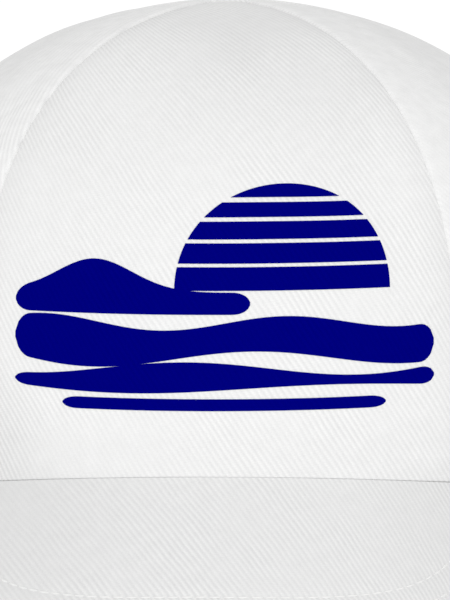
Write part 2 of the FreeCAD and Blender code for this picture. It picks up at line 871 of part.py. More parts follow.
def standing(parts):
    """Placement that stands the cap on the floor with its box centred on the origin."""
    front = [
        visor_point(x, y, visor_thickness() * share)
        for x, y, _, _ in visor_outline() for share in (HALF, 1.0)
    ]
    back = [
        crown_point(angle, oval_radius(angle), 0)
        for angle in spread(QUARTER_TURN, HALF_TURN - arch_edge_angle(), VISOR_COLUMNS)
    ]
    low, high = 0.0, QUARTER_TURN * HALF
    while high - low > LEAN_STEP:
        middle = (low + high) * HALF
        turn = Rotation(Vector(1, 0, 0), -middle)
        if min(turn.multVec(p).z for p in front) < min(turn.multVec(p).z for p in back):
            low = middle
        else:
            high = middle
    lean = Placement(Vector(), Rotation(Vector(1, 0, 0), -low))
    bounds = FreeCAD.BoundBox()
    for part in parts:
        shape = part.Shape.copy()
        shape.Placement = lean.multiply(shape.Placement)
        bounds.add(shape.optimalBoundingBox())
    shift = Vector(-bounds.Center.x, -bounds.Center.y, -bounds.ZMin)
    return Placement(shift, Rotation()).multiply(lean)


def write_out(parts):
    """Checks every object, stands the cap up and writes one file for each sub-part."""
    for obj in doc.Objects:
        for state in obj.State:
            if state in ("Invalid", "Error"):
                raise ValueError("%s is %s" % (obj.Name, state))
    stand = standing(parts)
    for part in parts:
        part.Placement = stand.multiply(part.Placement)
    doc.recompute()
    os.makedirs("parts", exist_ok=True)
    for part in parts:
        if part.Shape.isNull() or not part.Shape.isValid() or part.Shape.Volume <= 0:
            raise ValueError("bad shape: " + part.Label)
        part.Shape.exportStep("parts/%s.step" % part.Label)


def build():
    parts = crown()
    doc.recompute()
    parts += [sweatband()] + seam_tapes()
    parts.append(arch_binding())
    parts += visor() + button_and_rivet() + eyelets()
    parts += [closure_strap(), closure_tab()] + clasp()
    doc.recompute()
    write_out(parts)


build()
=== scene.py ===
"""A white cotton-twill cap with five panels, a bent stitched visor and a strap behind.

Shapes are worked out in millimetres in the head opening's own frame: the opening's plane is
XY, the visor points to -Y, the crown rises along +Z and the wearer's left is +X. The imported
record says where that frame stands, and every piece is placed by it.
"""

import json
import logging
import math
from dataclasses import dataclass
from enum import Enum
from typing import Iterable, Sequence

import bmesh
import bpy
import numpy as np
from mathutils import Matrix, Vector

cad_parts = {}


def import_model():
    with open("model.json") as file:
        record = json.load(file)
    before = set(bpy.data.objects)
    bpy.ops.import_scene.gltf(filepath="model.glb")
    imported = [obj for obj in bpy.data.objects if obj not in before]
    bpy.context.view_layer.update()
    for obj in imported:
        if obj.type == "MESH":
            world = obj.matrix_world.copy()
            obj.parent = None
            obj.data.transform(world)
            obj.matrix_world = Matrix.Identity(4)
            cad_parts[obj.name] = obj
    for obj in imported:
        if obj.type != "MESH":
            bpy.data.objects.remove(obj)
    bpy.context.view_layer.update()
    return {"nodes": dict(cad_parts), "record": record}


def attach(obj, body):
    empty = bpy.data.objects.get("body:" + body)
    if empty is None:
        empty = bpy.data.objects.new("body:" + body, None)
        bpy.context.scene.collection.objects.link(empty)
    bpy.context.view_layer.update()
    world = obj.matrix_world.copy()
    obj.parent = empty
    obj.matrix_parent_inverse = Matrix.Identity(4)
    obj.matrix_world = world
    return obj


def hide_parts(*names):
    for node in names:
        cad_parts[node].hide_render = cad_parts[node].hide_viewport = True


MM = 0.001
TINY = 1e-12
CAP = "cap"
BACK_ANGLE = 180.0
THREAD_SEAT = 0.05
LOG = logging.getLogger("cap")


class Hand(Enum):
    """Side of the wearer."""

    LEFT = 1
    RIGHT = -1

    @property
    def word(self) -> str:
        """The side's name as the nodes spell it."""
        return self.name.lower()


class Slot(Enum):
    """Material slots of the record."""

    TWILL = "white_twill"
    LINING = "lining_cotton"
    THREAD = "stitched_thread"


# Lines and points


def spread(start: float, end: float, step: float) -> np.ndarray:
    """Even values from start to end, about one step apart."""
    return np.linspace(start, end, max(2, int(round(abs(end - start) / step)) + 1))


def unit_rows(vectors: np.ndarray) -> np.ndarray:
    """The same vectors, one unit long."""
    return vectors / np.maximum(np.linalg.norm(vectors, axis=-1, keepdims=True), TINY)


def run_along(points: np.ndarray) -> np.ndarray:
    """Length along a line, up to each of its points."""
    return np.concatenate([[0], np.cumsum(np.linalg.norm(np.diff(points, axis=0), axis=1))])


def follow(places: np.ndarray, run: np.ndarray, rows: np.ndarray) -> np.ndarray:
    """Values at places on a run, column by column, from the values at its known rows."""
    return np.stack([np.interp(places, run, rows[:, k]) for k in range(rows.shape[1])], axis=-1)


def about_axis(radius: np.ndarray, turn: np.ndarray, *levels: np.ndarray) -> np.ndarray:
    """Points at distances from the upright axis, at turns in radians from the front."""
    return np.stack([radius * np.sin(turn), -radius * np.cos(turn), *levels], axis=-1)


def eased(share: np.ndarray) -> np.ndarray:
    """A share from 0 to 1 that starts and ends softly."""
    return share * share * (3 - 2 * share)


def smooth_line(points: np.ndarray, count: int, between: int = 24) -> np.ndarray:
    """A smooth line through points, resampled at even steps.

    Args:
        points: The points, in order.
        count: How many points the result has.
        between: Points tried from each given point to the next.

    Returns:
        The new points.
    """
    ends = np.vstack([2 * points[0] - points[1], points, 2 * points[-1] - points[-2]])
    made = []
    for a, b, c, d in zip(ends, ends[1:], ends[2:], ends[3:]):
        for t in np.linspace(0, 1, between, endpoint=False):
            square = (2 * a - 5 * b + 4 * c - d) * t**2
            cube = (3 * b - a - 3 * c + d) * t**3
            made.append((2 * b + (c - a) * t + square + cube) / 2)
    line = np.array([*made, points[-1]])
    run = run_along(line)
    return follow(np.linspace(0, run[-1], count), run, line)


# Forms that the pieces follow


@dataclass(frozen=True)
class HeadFrame:
    """Where the head opening's frame stands in the row frame."""

    origin: np.ndarray
    turn: np.ndarray

    @classmethod
    def from_record(cls, record: dict) -> "HeadFrame":
        """Reads the frame from the mount at the head opening.

        Args:
            record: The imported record.

        Returns:
            The frame, whose +Z points from the opening into the crown.
        """
        mount = next(m for m in record["mounts"] if m["name"] == "head_opening")
        up = -np.array(mount["axis"], float)
        side = np.array([1.0, 0.0, 0.0])
        back = np.cross(up, side)
        return cls(np.array(mount["pos_m"], float), np.stack([side, back, up], axis=1))

    def place(self, points: np.ndarray) -> np.ndarray:
        """Carries points in millimetres in this frame to metres in the row frame."""
        return np.asarray(points, float) * MM @ self.turn.T + self.origin

    def aim(self, directions: np.ndarray) -> np.ndarray:
        """Carries directions in this frame to the row frame."""
        return np.asarray(directions, float) @ self.turn.T


@dataclass(frozen=True)
class Crown:
    """The crown's surface: an oval at every height that turns over into a nearly flat top."""

    half_width: float = 91.0
    half_length: float = 98.0
    height: float = 117.4
    shoulder_power: float = 1.98
    flat_top_power: float = 3.54
    rim_arch: float = 11.4
    rim_arch_end: float = 90.0
    wall: float = 1.4
    front_seam: float = 36.3
    side_seam: float = 108.0
    vent_height: float = 92.0
    hole_radius: float = 2.5
    samples: int = 3000

    @property
    def seams(self) -> tuple[float, float, float]:
        """Plan angles of the seams on one side, from the front."""
        return (self.front_seam, self.side_seam, BACK_ANGLE)

    @property
    def vents(self) -> tuple[float, float]:
        """Plan angles of the eyelets on one side, from the front."""
        front, side, back = self.seams
        return ((front + side) / 2, (side + back) / 2)

    def oval(self, angle: np.ndarray, inset: float = 0.0) -> np.ndarray:
        """Distance from the axis to the oval at plan angles in degrees from the front."""
        turn = np.radians(angle)
        return 1 / np.hypot(
            np.sin(turn) / (self.half_width - inset), np.cos(turn) / (self.half_length - inset)
        )

    def rim(self, angle: np.ndarray) -> np.ndarray:
        """Height of the crown's lower edge, which arches up over the visor."""
        arch = self.rim_arch * np.cos(np.radians(angle)) ** 2
        return np.where(np.abs(angle) < self.rim_arch_end, arch, 0.0)

    def table(self, inset: float = 0.0) -> tuple[np.ndarray, np.ndarray, np.ndarray]:
        """One meridian, followed up from the opening's plane to the hole at the top.

        Args:
            inset: How far inside the outer surface the meridian runs.

        Returns:
            Length along the meridian, share of the rim's oval, and height.
        """
        mean = (self.half_width + self.half_length) / 2 - inset
        bend = np.linspace(0, np.pi / 2, self.samples)
        share = np.cos(bend) ** (2 / self.shoulder_power)
        height = (self.height - inset) * np.sin(bend) ** (2 / self.flat_top_power)
        keep = share * mean >= self.hole_radius
        share, height = share[keep], height[keep]
        return run_along(np.stack([share * mean, height], axis=1)), share, height

    def length(self) -> float:
        """Length of a meridian from the opening's plane to the hole."""
        return float(self.table()[0][-1])

    def at(
        self, angle: np.ndarray, along: np.ndarray, inset: float = 0.0, lift: np.ndarray | float = 0.0
    ) -> np.ndarray:
        """Points of the surface.

        Args:
            angle: Plan angles in degrees from the front.
            along: Lengths up the meridian from the opening's plane.
            inset: How far inside the outer surface the points lie.
            lift: How far the points stand out from there, along the surface's normal.

        Returns:
            The points, in the head opening's frame.
        """
        run, share, height = self.table(inset)
        angle, along = np.broadcast_arrays(np.asarray(angle, float), np.asarray(along, float))
        radius = self.oval(angle, inset) * np.interp(along, run, share)
        points = about_axis(radius, np.radians(angle), np.interp(along, run, height))
        return points + self.normal(points) * np.asarray(lift, float)[..., None]

    def normal(self, points: np.ndarray) -> np.ndarray:
        """Outward directions at points on or near the surface."""
        x = points[..., 0] / self.half_width
        y = points[..., 1] / self.half_length
        oval = np.maximum(x**2 + y**2, TINY)
        side = self.shoulder_power * oval ** (self.shoulder_power / 2 - 1)
        level = np.clip(points[..., 2] / self.height, 0, None)
        rise = self.flat_top_power * level ** (self.flat_top_power - 1) / self.height
        return unit_rows(
            np.stack([side * x / self.half_width, side * y / self.half_length, rise], axis=-1)
        )

    def along_at_height(self, height: np.ndarray) -> np.ndarray:
        """Length up the meridian at which a height is reached."""
        run, _, heights = self.table()
        return np.interp(height, heights, run)

    def radius_at(self, angle: np.ndarray, along: np.ndarray) -> np.ndarray:
        """Distance from the axis at a length up the meridian."""
        run, share, _ = self.table()
        return self.oval(angle) * np.interp(along, run, share)

    def rear_place(self, spots: np.ndarray) -> tuple[np.ndarray, np.ndarray]:
        """Where the rear wall is at places seen from straight behind.

        Args:
            spots: Places to the wearer's left, and heights above the opening's plane.

        Returns:
            Plan angles and lengths up the meridian.
        """
        along = self.along_at_height(spots[..., 1])
        run, share, _ = self.table()
        reach = self.half_width * np.interp(along, run, share)
        turn = np.arcsin(np.clip(spots[..., 0] / reach, -1, 1))
        back = np.arctan2(self.half_width * np.sin(turn), self.half_length * np.cos(turn))
        return BACK_ANGLE - np.degrees(back), along


@dataclass(frozen=True)
class VisorShape:
    """The bent board. A point of it is known by its place on the flat cut and its depth."""

    crown: Crown
    length: float = 68.0
    slope: float = 44.0
    end_angle: float = 58.0
    tip_length: float = 8.0
    outline_power: float = 2.3
    board: float = 2.0
    cloth: float = 0.6
    fold: float = 1.4
    seat_gap: float = 0.35
    side_share: float = 0.8
    out_gap: float = 0.2
    root_points: int = 801
    fine_points: int = 2001
    coarse_points: int = 600

    @property
    def thickness(self) -> float:
        """The board with both cloths."""
        return self.board + 2 * self.cloth

    @property
    def direction(self) -> np.ndarray:
        """The way every straight line of the bent board runs."""
        slope = math.radians(self.slope)
        return np.array([0.0, -math.cos(slope), -math.sin(slope)])

    def root(self) -> tuple[np.ndarray, np.ndarray, np.ndarray, np.ndarray]:
        """The seam with the crown.

        Returns:
            Place across, place along, point and upward normal of dense points.
        """
        angle = np.linspace(-self.end_angle, self.end_angle, self.root_points)
        radius = self.crown.oval(angle) + self.out_gap
        points = about_axis(radius, np.radians(angle), self.crown.rim(angle) - self.seat_gap)
        way = self.direction
        level = points - np.outer(points @ way, way)
        across = run_along(level)
        normal = unit_rows(np.cross(way, np.gradient(points, axis=0)))
        normal = normal * np.where(normal[:, 2:] < 0, -1, 1)
        return across - across[-1] / 2, points @ way, points, normal

    def at(self, across: np.ndarray, along: np.ndarray, depth: np.ndarray | float) -> np.ndarray:
        """Points of the bent visor from places on its flat cut and depths below its top."""
        run, start, points, normals = self.root()
        across, along = np.broadcast_arrays(np.asarray(across, float), np.asarray(along, float))
        move = (along - np.interp(across, run, start))[..., None] * self.direction
        sunk = unit_rows(follow(across, run, normals)) * np.asarray(depth, float)[..., None]
        return follow(across, run, points) + move - sunk

    def normals(self, across: np.ndarray) -> np.ndarray:
        """Upward normals at places across the bend."""
        run, _, _, normals = self.root()
        return unit_rows(follow(across, run, normals))

    def start(self, across: np.ndarray) -> np.ndarray:
        """Place along at which the board leaves the crown."""
        run, start, _, _ = self.root()
        return np.interp(across, run, start)

    def half_width(self) -> float:
        """Half the flat cut's width."""
        return float(self.root()[0][-1])

    def outline(self, count: int) -> tuple[np.ndarray, np.ndarray]:
        """The free edge on the flat cut, from tip to tip.

        Args:
            count: How many points to give.

        Returns:
            Points as (across, along) rows, and their inward normals.
        """
        half = self.half_width()
        corner = float(self.start(np.array(half))) + self.tip_length
        front = float(self.start(np.array(0.0))) + self.length
        power = self.outline_power
        share = np.sin(np.linspace(-np.pi / 2, np.pi / 2, count))
        rise = np.maximum(1 - np.abs(share) ** power, 0) ** (1 / power)
        edge = np.stack([half * share, corner + (front - corner) * rise], axis=1)
        aside = -np.sign(share) * np.abs(share) ** (power - 1) / half
        ahead = -(rise ** (power - 1)) / (front - corner)
        return edge, unit_rows(np.stack([aside, ahead], axis=1))

    def edge_at(self, across: np.ndarray) -> np.ndarray:
        """Place along of the free edge at places across."""
        edge, _ = self.outline(self.fine_points)
        return np.interp(across, edge[:, 0], edge[:, 1])

    def spacing(self, inward: np.ndarray) -> np.ndarray:
        """How much closer the stitch rows lie where the free edge faces sideways."""
        return 1 - (1 - self.side_share) * np.clip(np.abs(inward[..., 0]), 0, 1) ** 2

    def row_at(self, across: np.ndarray, along: np.ndarray) -> np.ndarray:
        """The stitch row, counted in millimetres from the front edge, that passes each point."""
        edge, inward = self.outline(self.coarse_points)
        flat = np.stack([np.ravel(across), np.ravel(along)], axis=1)
        best = np.full(len(flat), np.inf)
        row = np.zeros(len(flat))
        for first, second, closer in zip(edge, edge[1:], self.spacing(inward)):
            step = second - first
            share = np.clip((flat - first) @ step / max(step @ step, TINY), 0, 1)
            gap = np.linalg.norm(flat - first - share[:, None] * step, axis=1)
            nearer = gap < best
            best = np.where(nearer, gap, best)
            row = np.where(nearer, gap / closer, row)
        return row.reshape(np.shape(across))


@dataclass(frozen=True)
class RearArch:
    """The opening behind, above the strap."""

    radius: float = 35.0
    spring: float = 10.0
    binding: float = 9.0
    foot: float = 0.6

    def bow(self, radius: float, turn: np.ndarray) -> np.ndarray:
        """Places on a round over the opening, at turns from its right spring."""
        return np.stack([radius * np.cos(turn), self.spring + radius * np.sin(turn)], axis=1)

    def line(self, grow: float, step: float) -> np.ndarray:
        """The opening's outline from one foot over the top to the other.

        Args:
            grow: How far outside the opening the line runs.
            step: Distance between its points.

        Returns:
            Places across and heights.
        """
        radius = self.radius + grow
        foot = spread(self.foot, self.spring, step)[:-1]
        right = np.stack([np.full_like(foot, radius), foot], axis=1)
        top = self.bow(radius, spread(0, math.pi, step / radius))
        return np.vstack([right, top, right[::-1] * [-1, 1]])


REAR_ARCH = RearArch()


# Finishes

Level = float | bpy.types.NodeSocket


class Shader:
    """A small builder of node trees."""

    def __init__(self, tree: bpy.types.NodeTree) -> None:
        """Starts on an empty tree."""
        self.tree = tree
        tree.nodes.clear()

    def node(self, kind: str, **settings) -> bpy.types.Node:
        """Adds a node and sets its properties."""
        made = self.tree.nodes.new(kind)
        for name, value in settings.items():
            setattr(made, name, value)
        return made

    def join(self, source: bpy.types.NodeSocket, target: bpy.types.NodeSocket) -> None:
        """Links two sockets."""
        self.tree.links.new(source, target)

    def give(self, target: bpy.types.NodeSocket, value: Level | tuple) -> None:
        """Links an input to a socket, or sets a plain value there."""
        if isinstance(value, bpy.types.NodeSocket):
            self.join(value, target)
        else:
            target.default_value = value

    def feed(self, target: bpy.types.Node, **values: Level | tuple) -> None:
        """Gives a node's inputs by name, with underscores for blanks, a socket or a value each."""
        for label, value in values.items():
            self.give(target.inputs[label.replace("_", " ")], value)

    def math(self, operation: str, *values: Level, clamp: bool = False) -> bpy.types.NodeSocket:
        """Adds a math node whose inputs are sockets or plain numbers."""
        made = self.node("ShaderNodeMath", operation=operation, use_clamp=clamp)
        for socket, value in zip(made.inputs, values):
            self.give(socket, value)
        return made.outputs[0]

    def vector(self, operation: str, *values: Level | tuple) -> bpy.types.Node:
        """Adds a vector math node whose inputs are sockets or plain vectors."""
        made = self.node("ShaderNodeVectorMath", operation=operation)
        for socket, value in zip(made.inputs, values):
            self.give(socket, value)
        return made

    def noise(
        self, place: bpy.types.NodeSocket, scale: float, detail: float = 2.0
    ) -> bpy.types.NodeSocket:
        """Adds a noise over a place."""
        made = self.node("ShaderNodeTexNoise", noise_dimensions="3D")
        self.feed(made, Vector=place, Scale=scale, Detail=detail)
        return made.outputs[0]

    def bump(
        self, surface: bpy.types.Node, height: bpy.types.NodeSocket, depth: float,
        strength: float = 1.0,
    ) -> None:
        """Gives a surface a relief.

        Args:
            surface: The principled surface.
            height: Heights from 0 to 1.
            depth: How deep the relief is, in metres.
            strength: How much of it shows.
        """
        made = self.node("ShaderNodeBump")
        self.feed(made, Height=height, Distance=depth, Strength=strength)
        self.join(made.outputs[0], surface.inputs["Normal"])


@dataclass(frozen=True)
class Weave:
    """The twill on the flat cloth: waves to the millimetre, noise scales, and shares."""

    across: float = 0.675
    up: float = 0.440
    float_share: float = 0.55
    wander_scale: float = 0.05
    wander: float = 1.2
    wobble_scale: float = 0.9
    wobble: float = 0.16
    faint_scale: float = 0.07
    faint_gain: float = 2.2
    faint_start: float = -0.55
    faintest: float = 0.25
    broken_scale: float = 1.1
    broken_gain: float = 2.4
    broken_start: float = -0.2
    yarn_up: float = 1.9
    yarn_across: float = 0.35
    yarn_share: float = 0.45
    grain_scale: float = 2.6
    coarse: float = 1.0
    fine: float = 3.0


WEAVE = Weave()


def twill_group() -> bpy.types.NodeTree:
    """The weave's height and shade at a place on the flat cloth, in millimetres.

    Returns:
        A group with the outputs Height, from 0 in the groove to 1 on the ridge, and Speckle.
    """
    if "twill_weave" in bpy.data.node_groups:
        return bpy.data.node_groups["twill_weave"]
    group = bpy.data.node_groups.new("twill_weave", "ShaderNodeTree")
    group.interface.new_socket("Place", in_out="INPUT", socket_type="NodeSocketVector")
    inputs = {"Across": WEAVE.across, "Up": WEAVE.up, "Float": WEAVE.float_share, "Strength": 1.0}
    for label, value in inputs.items():
        socket = group.interface.new_socket(label, in_out="INPUT", socket_type="NodeSocketFloat")
        socket.default_value = value
    for label in ("Height", "Speckle"):
        group.interface.new_socket(label, in_out="OUTPUT", socket_type="NodeSocketFloat")
    s = Shader(group)
    given = s.node("NodeGroupInput")
    place, strength = given.outputs["Place"], given.outputs["Strength"]
    split = s.node("ShaderNodeSeparateXYZ")
    s.join(place, split.inputs[0])
    across, up = split.outputs["X"], split.outputs["Y"]

    lines = s.math("MULTIPLY", across, given.outputs["Across"])
    lines = s.math("MULTIPLY_ADD", up, given.outputs["Up"], lines)
    lines = s.math("MULTIPLY_ADD", s.noise(place, WEAVE.wander_scale, WEAVE.coarse), WEAVE.wander, lines)
    lines = s.math("MULTIPLY_ADD", s.noise(place, WEAVE.wobble_scale), WEAVE.wobble, lines)
    wave = s.math("SINE", s.math("MULTIPLY", lines, math.tau))

    faint = s.noise(place, WEAVE.faint_scale, WEAVE.fine)
    faint = s.math("MULTIPLY_ADD", faint, WEAVE.faint_gain, WEAVE.faint_start, clamp=True)
    faint = s.math("MULTIPLY_ADD", faint, 1 - WEAVE.faintest, WEAVE.faintest)
    broken = s.noise(place, WEAVE.broken_scale, WEAVE.fine)
    broken = s.math("MULTIPLY_ADD", broken, WEAVE.broken_gain, WEAVE.broken_start)
    strong = s.math("MULTIPLY", s.math("MULTIPLY", faint, broken), strength)
    ridge = s.math("MULTIPLY_ADD", s.math("MULTIPLY", wave, strong), 0.5, 0.5)

    cross = s.math("MULTIPLY_ADD", across, -WEAVE.yarn_across, s.math("MULTIPLY", up, WEAVE.yarn_up))
    yarn = s.math("MULTIPLY_ADD", s.math("SINE", s.math("MULTIPLY", cross, math.tau)), 0.5, 0.5)
    yarn = s.math("MULTIPLY", s.math("MULTIPLY", yarn, given.outputs["Float"]), strength)
    dip = s.math("MULTIPLY", yarn, s.math("MULTIPLY", ridge, WEAVE.yarn_share))

    made = s.node("NodeGroupOutput")
    s.feed(
        made, Height=s.math("SUBTRACT", ridge, dip),
        Speckle=s.noise(place, WEAVE.grain_scale, WEAVE.fine),
    )
    return group


def finish_material(name: str) -> tuple[bpy.types.Material, Shader, bpy.types.Node]:
    """A new material with a principled surface.

    Args:
        name: The material's name.

    Returns:
        The material, its tree's builder and its surface node.
    """
    material = bpy.data.materials.new(name)
    material.use_nodes = True
    s = Shader(material.node_tree)
    surface = s.node("ShaderNodeBsdfPrincipled")
    s.feed(s.node("ShaderNodeOutputMaterial"), Surface=surface.outputs[0])
    return material, s, surface


@dataclass(frozen=True)
class Patch:
    """An oval on the flat cloth with a fainter or stronger weave, and painted light or shade."""

    across: float
    up: float
    half_width: float
    half_height: float
    weave: float = 1.0
    # Factor on the cloth's colour: below 1 is painted shade, above 1 is painted light.
    tone: float = 1.0
    full_share: float = 0.2
    end_share: float = 1.4

    def nearness(self, s: Shader, place: bpy.types.NodeSocket) -> bpy.types.NodeSocket:
        """How near a place is to the patch.

        Args:
            s: The material's builder.
            place: The flat coordinates.

        Returns:
            From 1 inside the patch to 0 well outside it.
        """
        offset = s.vector("SUBTRACT", place, (self.across, self.up, 0))
        shares = s.vector("DIVIDE", offset.outputs["Vector"], (self.half_width, self.half_height, 1))
        reach = s.vector("LENGTH", shares.outputs["Vector"])
        near = s.node("ShaderNodeMapRange", interpolation_type="SMOOTHSTEP")
        s.feed(
            near, Value=reach.outputs["Value"], From_Min=self.full_share, From_Max=self.end_share,
            To_Min=1.0, To_Max=0.0,
        )
        return near.outputs["Result"]


@dataclass(frozen=True)
class TwillFinish:
    """Woven cotton with diagonal lines, drawn on the piece's flat coordinates."""

    name: str
    ridge_colour: tuple[float, float, float] = (0.91, 0.91, 0.905)
    groove_colour: tuple[float, float, float] = (0.775, 0.775, 0.775)
    depth: float = 0.00010
    strength: float = 0.55
    roughness: float = 0.88
    specular: float = 0.2
    speckle: float = 0.9
    speckle_start: float = -0.4
    weave: float = 1.0
    mottle: float = 0.08
    mottle_scale: float = 0.3
    mottle_detail: float = 4.0
    # Patches change the weave's strength and can paint light or shade on the colour.
    patches: tuple[Patch, ...] = ()
    # Stops of distance from the seam in millimetres and colour factor: painted light and shade beside
    # the seams.
    seam_painted_light_stops: tuple[tuple[float, float], ...] = ()

    def painted_seam_factor(self, s: Shader) -> Level:
        """Painted light and shade beside the seams, by distance from the nearest seam.

        Args:
            s: The material's builder.

        Returns:
            The factor, 1 on cloth without seams.
        """
        if not self.seam_painted_light_stops:
            return 1.0
        brightest = max(value for _, value in self.seam_painted_light_stops)
        reach = max(gap for gap, _ in self.seam_painted_light_stops)
        seam = s.node("ShaderNodeSeparateXYZ")
        s.join(s.node("ShaderNodeUVMap", uv_map="seam").outputs[0], seam.inputs[0])
        ramp = s.node("ShaderNodeValToRGB")
        s.join(s.math("DIVIDE", seam.outputs["X"], reach), ramp.inputs[0])
        stops = ramp.color_ramp.elements
        for index, (gap, value) in enumerate(self.seam_painted_light_stops):
            stop = stops[index] if index < len(stops) else stops.new(gap / reach)
            stop.position = gap / reach
            stop.color = (*[value / brightest] * 3, 1)
        return s.math("MULTIPLY", ramp.outputs[0], brightest)

    def levels(self, s: Shader, place: bpy.types.NodeSocket) -> tuple[Level, Level]:
        """How strong the weave is, and the painted light and shade at a place times the random mottle.

        Args:
            s: The material's builder.
            place: The flat coordinates.

        Returns:
            The two factors.
        """
        weave: Level = self.weave
        tone = self.painted_seam_factor(s)
        # Each patch multiplies in its painted light or shade; the blotch noise below is random mottle.
        for patch in self.patches:
            near = patch.nearness(s, place)
            weave = s.math("MULTIPLY", weave, s.math("MULTIPLY_ADD", near, patch.weave - 1, 1.0))
            tone = s.math("MULTIPLY", tone, s.math("MULTIPLY_ADD", near, patch.tone - 1, 1.0))
        blotch = s.noise(place, self.mottle_scale, self.mottle_detail)
        uneven = s.math("MULTIPLY_ADD", blotch, self.mottle, 1 - self.mottle / 2)
        return weave, s.math("MULTIPLY", tone, uneven)

    def build(self) -> bpy.types.Material:
        """Makes the material."""
        material, s, surface = finish_material(self.name)
        place = s.node("ShaderNodeUVMap", uv_map="flat").outputs[0]
        strength, tone = self.levels(s, place)
        weave = s.node("ShaderNodeGroup", node_tree=twill_group())
        s.feed(weave, Place=place, Across=WEAVE.across, Up=WEAVE.up, Strength=strength)
        speckle = weave.outputs["Speckle"]
        mixed = s.math("MULTIPLY_ADD", speckle, self.speckle, self.speckle_start)
        shade = s.node("ShaderNodeMix", data_type="RGBA")
        s.feed(
            shade, A=(*self.groove_colour, 1), B=(*self.ridge_colour, 1),
            Factor=s.math("ADD", weave.outputs["Height"], mixed, clamp=True),
        )
        # The weave's colour is scaled by the painted light and shade and by the random mottle.
        lit = s.vector("SCALE", shade.outputs["Result"])
        s.feed(lit, Scale=tone)
        s.feed(
            surface, Base_Color=lit.outputs["Vector"], Roughness=self.roughness,
            Specular_IOR_Level=self.specular,
        )
        s.bump(surface, weave.outputs["Height"], self.depth, self.strength)
        return material


@dataclass(frozen=True)
class PlainFinish:
    """One colour with a fine grain, for thread, lining, board and metal."""

    name: str
    colour: tuple[float, float, float]
    roughness: float
    metallic: float = 0.0
    grain_scale: float = 900.0
    grain_depth: float = 0.00003

    def build(self) -> bpy.types.Material:
        """Makes the material."""
        material, s, surface = finish_material(self.name)
        s.feed(
            surface, Base_Color=(*self.colour, 1), Roughness=self.roughness, Metallic=self.metallic
        )
        place = s.node("ShaderNodeTexCoord").outputs["Object"]
        s.bump(surface, s.noise(place, self.grain_scale), self.grain_depth)
        return material


# Colour factors by distance from the seams in millimetres. Side and rear panels: painted light just
# beside each seam, then a band of painted shade further out. Front panel: painted shade in the dip along
# its seams.
SIDE_SEAM_PAINTED_LIGHT_AND_SHADE = ((0, 1.03), (9, 1.035), (17, 1.0), (25, 0.98), (34, 0.985), (46, 1.0))
FRONT_SEAM_PAINTED_SHADE = ((0, 0.95), (1.5, 0.97), (4, 0.99), (8, 1.0))
SIDE_PATCHES = (Patch(41, 92, 12, 16, weave=2.0), Patch(-41, 92, 18, 34, weave=0.35))
# Front panel patches. Weave values change the twill's strength. The darker ones are painted shade along
# the foot above the visor, at the lower left where the panel turns away, and under the top; the lighter
# ones are painted light on the upper panel.
FRONT_PATCHES = (
    Patch(-27, 17, 27, 10, weave=0.4),
    Patch(-52, 22, 11, 12, weave=1.8, tone=0.97),
    Patch(-58, 12, 22, 16, tone=0.95),
    Patch(-8, 92, 18, 18, weave=0.6),
    Patch(-42, 76, 15, 13, weave=0.55),
    Patch(4, 139, 20, 11, weave=0.5, tone=0.975),
    Patch(5, 124, 7, 12, tone=0.975),
    Patch(-26, 118, 20, 26, tone=1.035),
    Patch(32, 124, 12, 14, tone=1.025),
    Patch(46, 88, 12, 26, tone=1.03),
    Patch(0, 14, 90, 10, tone=0.975),
    Patch(-50, 9, 34, 4, tone=0.96),
    Patch(56, 9, 22, 4, tone=0.965),
)
# Visor patches: a softer weave, and painted shade over both ends of the peak, darker on the left.
VISOR_PATCHES = (
    Patch(-58, -30, 40, 90, weave=0.3, tone=0.92),
    Patch(62, -30, 26, 90, weave=0.8, tone=0.95),
)


class Finishes:
    """Every material of the cap."""

    def __init__(self) -> None:
        """Builds them all."""
        self.twill = TwillFinish("white_twill").build()
        # The panels get copies of the white twill with painted light and shade beside the seams and in
        # patches.
        self.side_twill = TwillFinish(
            "side_twill", weave=0.5, mottle=0.16, seam_painted_light_stops=SIDE_SEAM_PAINTED_LIGHT_AND_SHADE, patches=SIDE_PATCHES
        ).build()
        self.rear_twill = TwillFinish(
            "rear_twill", weave=0.7, mottle=0.07, seam_painted_light_stops=SIDE_SEAM_PAINTED_LIGHT_AND_SHADE
        ).build()
        self.front_twill = TwillFinish(
            "front_twill", seam_painted_light_stops=FRONT_SEAM_PAINTED_SHADE, patches=FRONT_PATCHES
        ).build()
        # The visor's copy of the same white twill is painted darker all over, as painted shade on the
        # sloping peak, and has patches of painted shade.
        self.visor_twill = TwillFinish(
            "visor_twill", (0.86, 0.86, 0.855), (0.725, 0.725, 0.725), depth=0.00012,
            patches=VISOR_PATCHES,
        ).build()
        self.ink = TwillFinish(
            "navy_ink", (0.0002, 0.0004, 0.20), (0.0001, 0.0003, 0.18), depth=0.00003,
            roughness=0.9, specular=0.0,
        ).build()
        self.thread = PlainFinish("white_thread", (0.87, 0.87, 0.86), roughness=0.7).build()
        self.lining = PlainFinish("lining_cotton", (0.86, 0.86, 0.84), roughness=0.9).build()
        self.board = PlainFinish("board_core", (0.82, 0.82, 0.8), roughness=0.6).build()
        self.metal = PlainFinish(
            "satin_metal", (0.62, 0.62, 0.63), roughness=0.28, metallic=1.0, grain_depth=0.000004
        ).build()


# Meshes


def cloth_mesh() -> bmesh.types.BMesh:
    """An empty mesh with a layer for the flat coordinates of its cloth."""
    mesh = bmesh.new()
    mesh.loops.layers.uv.new("flat")
    return mesh


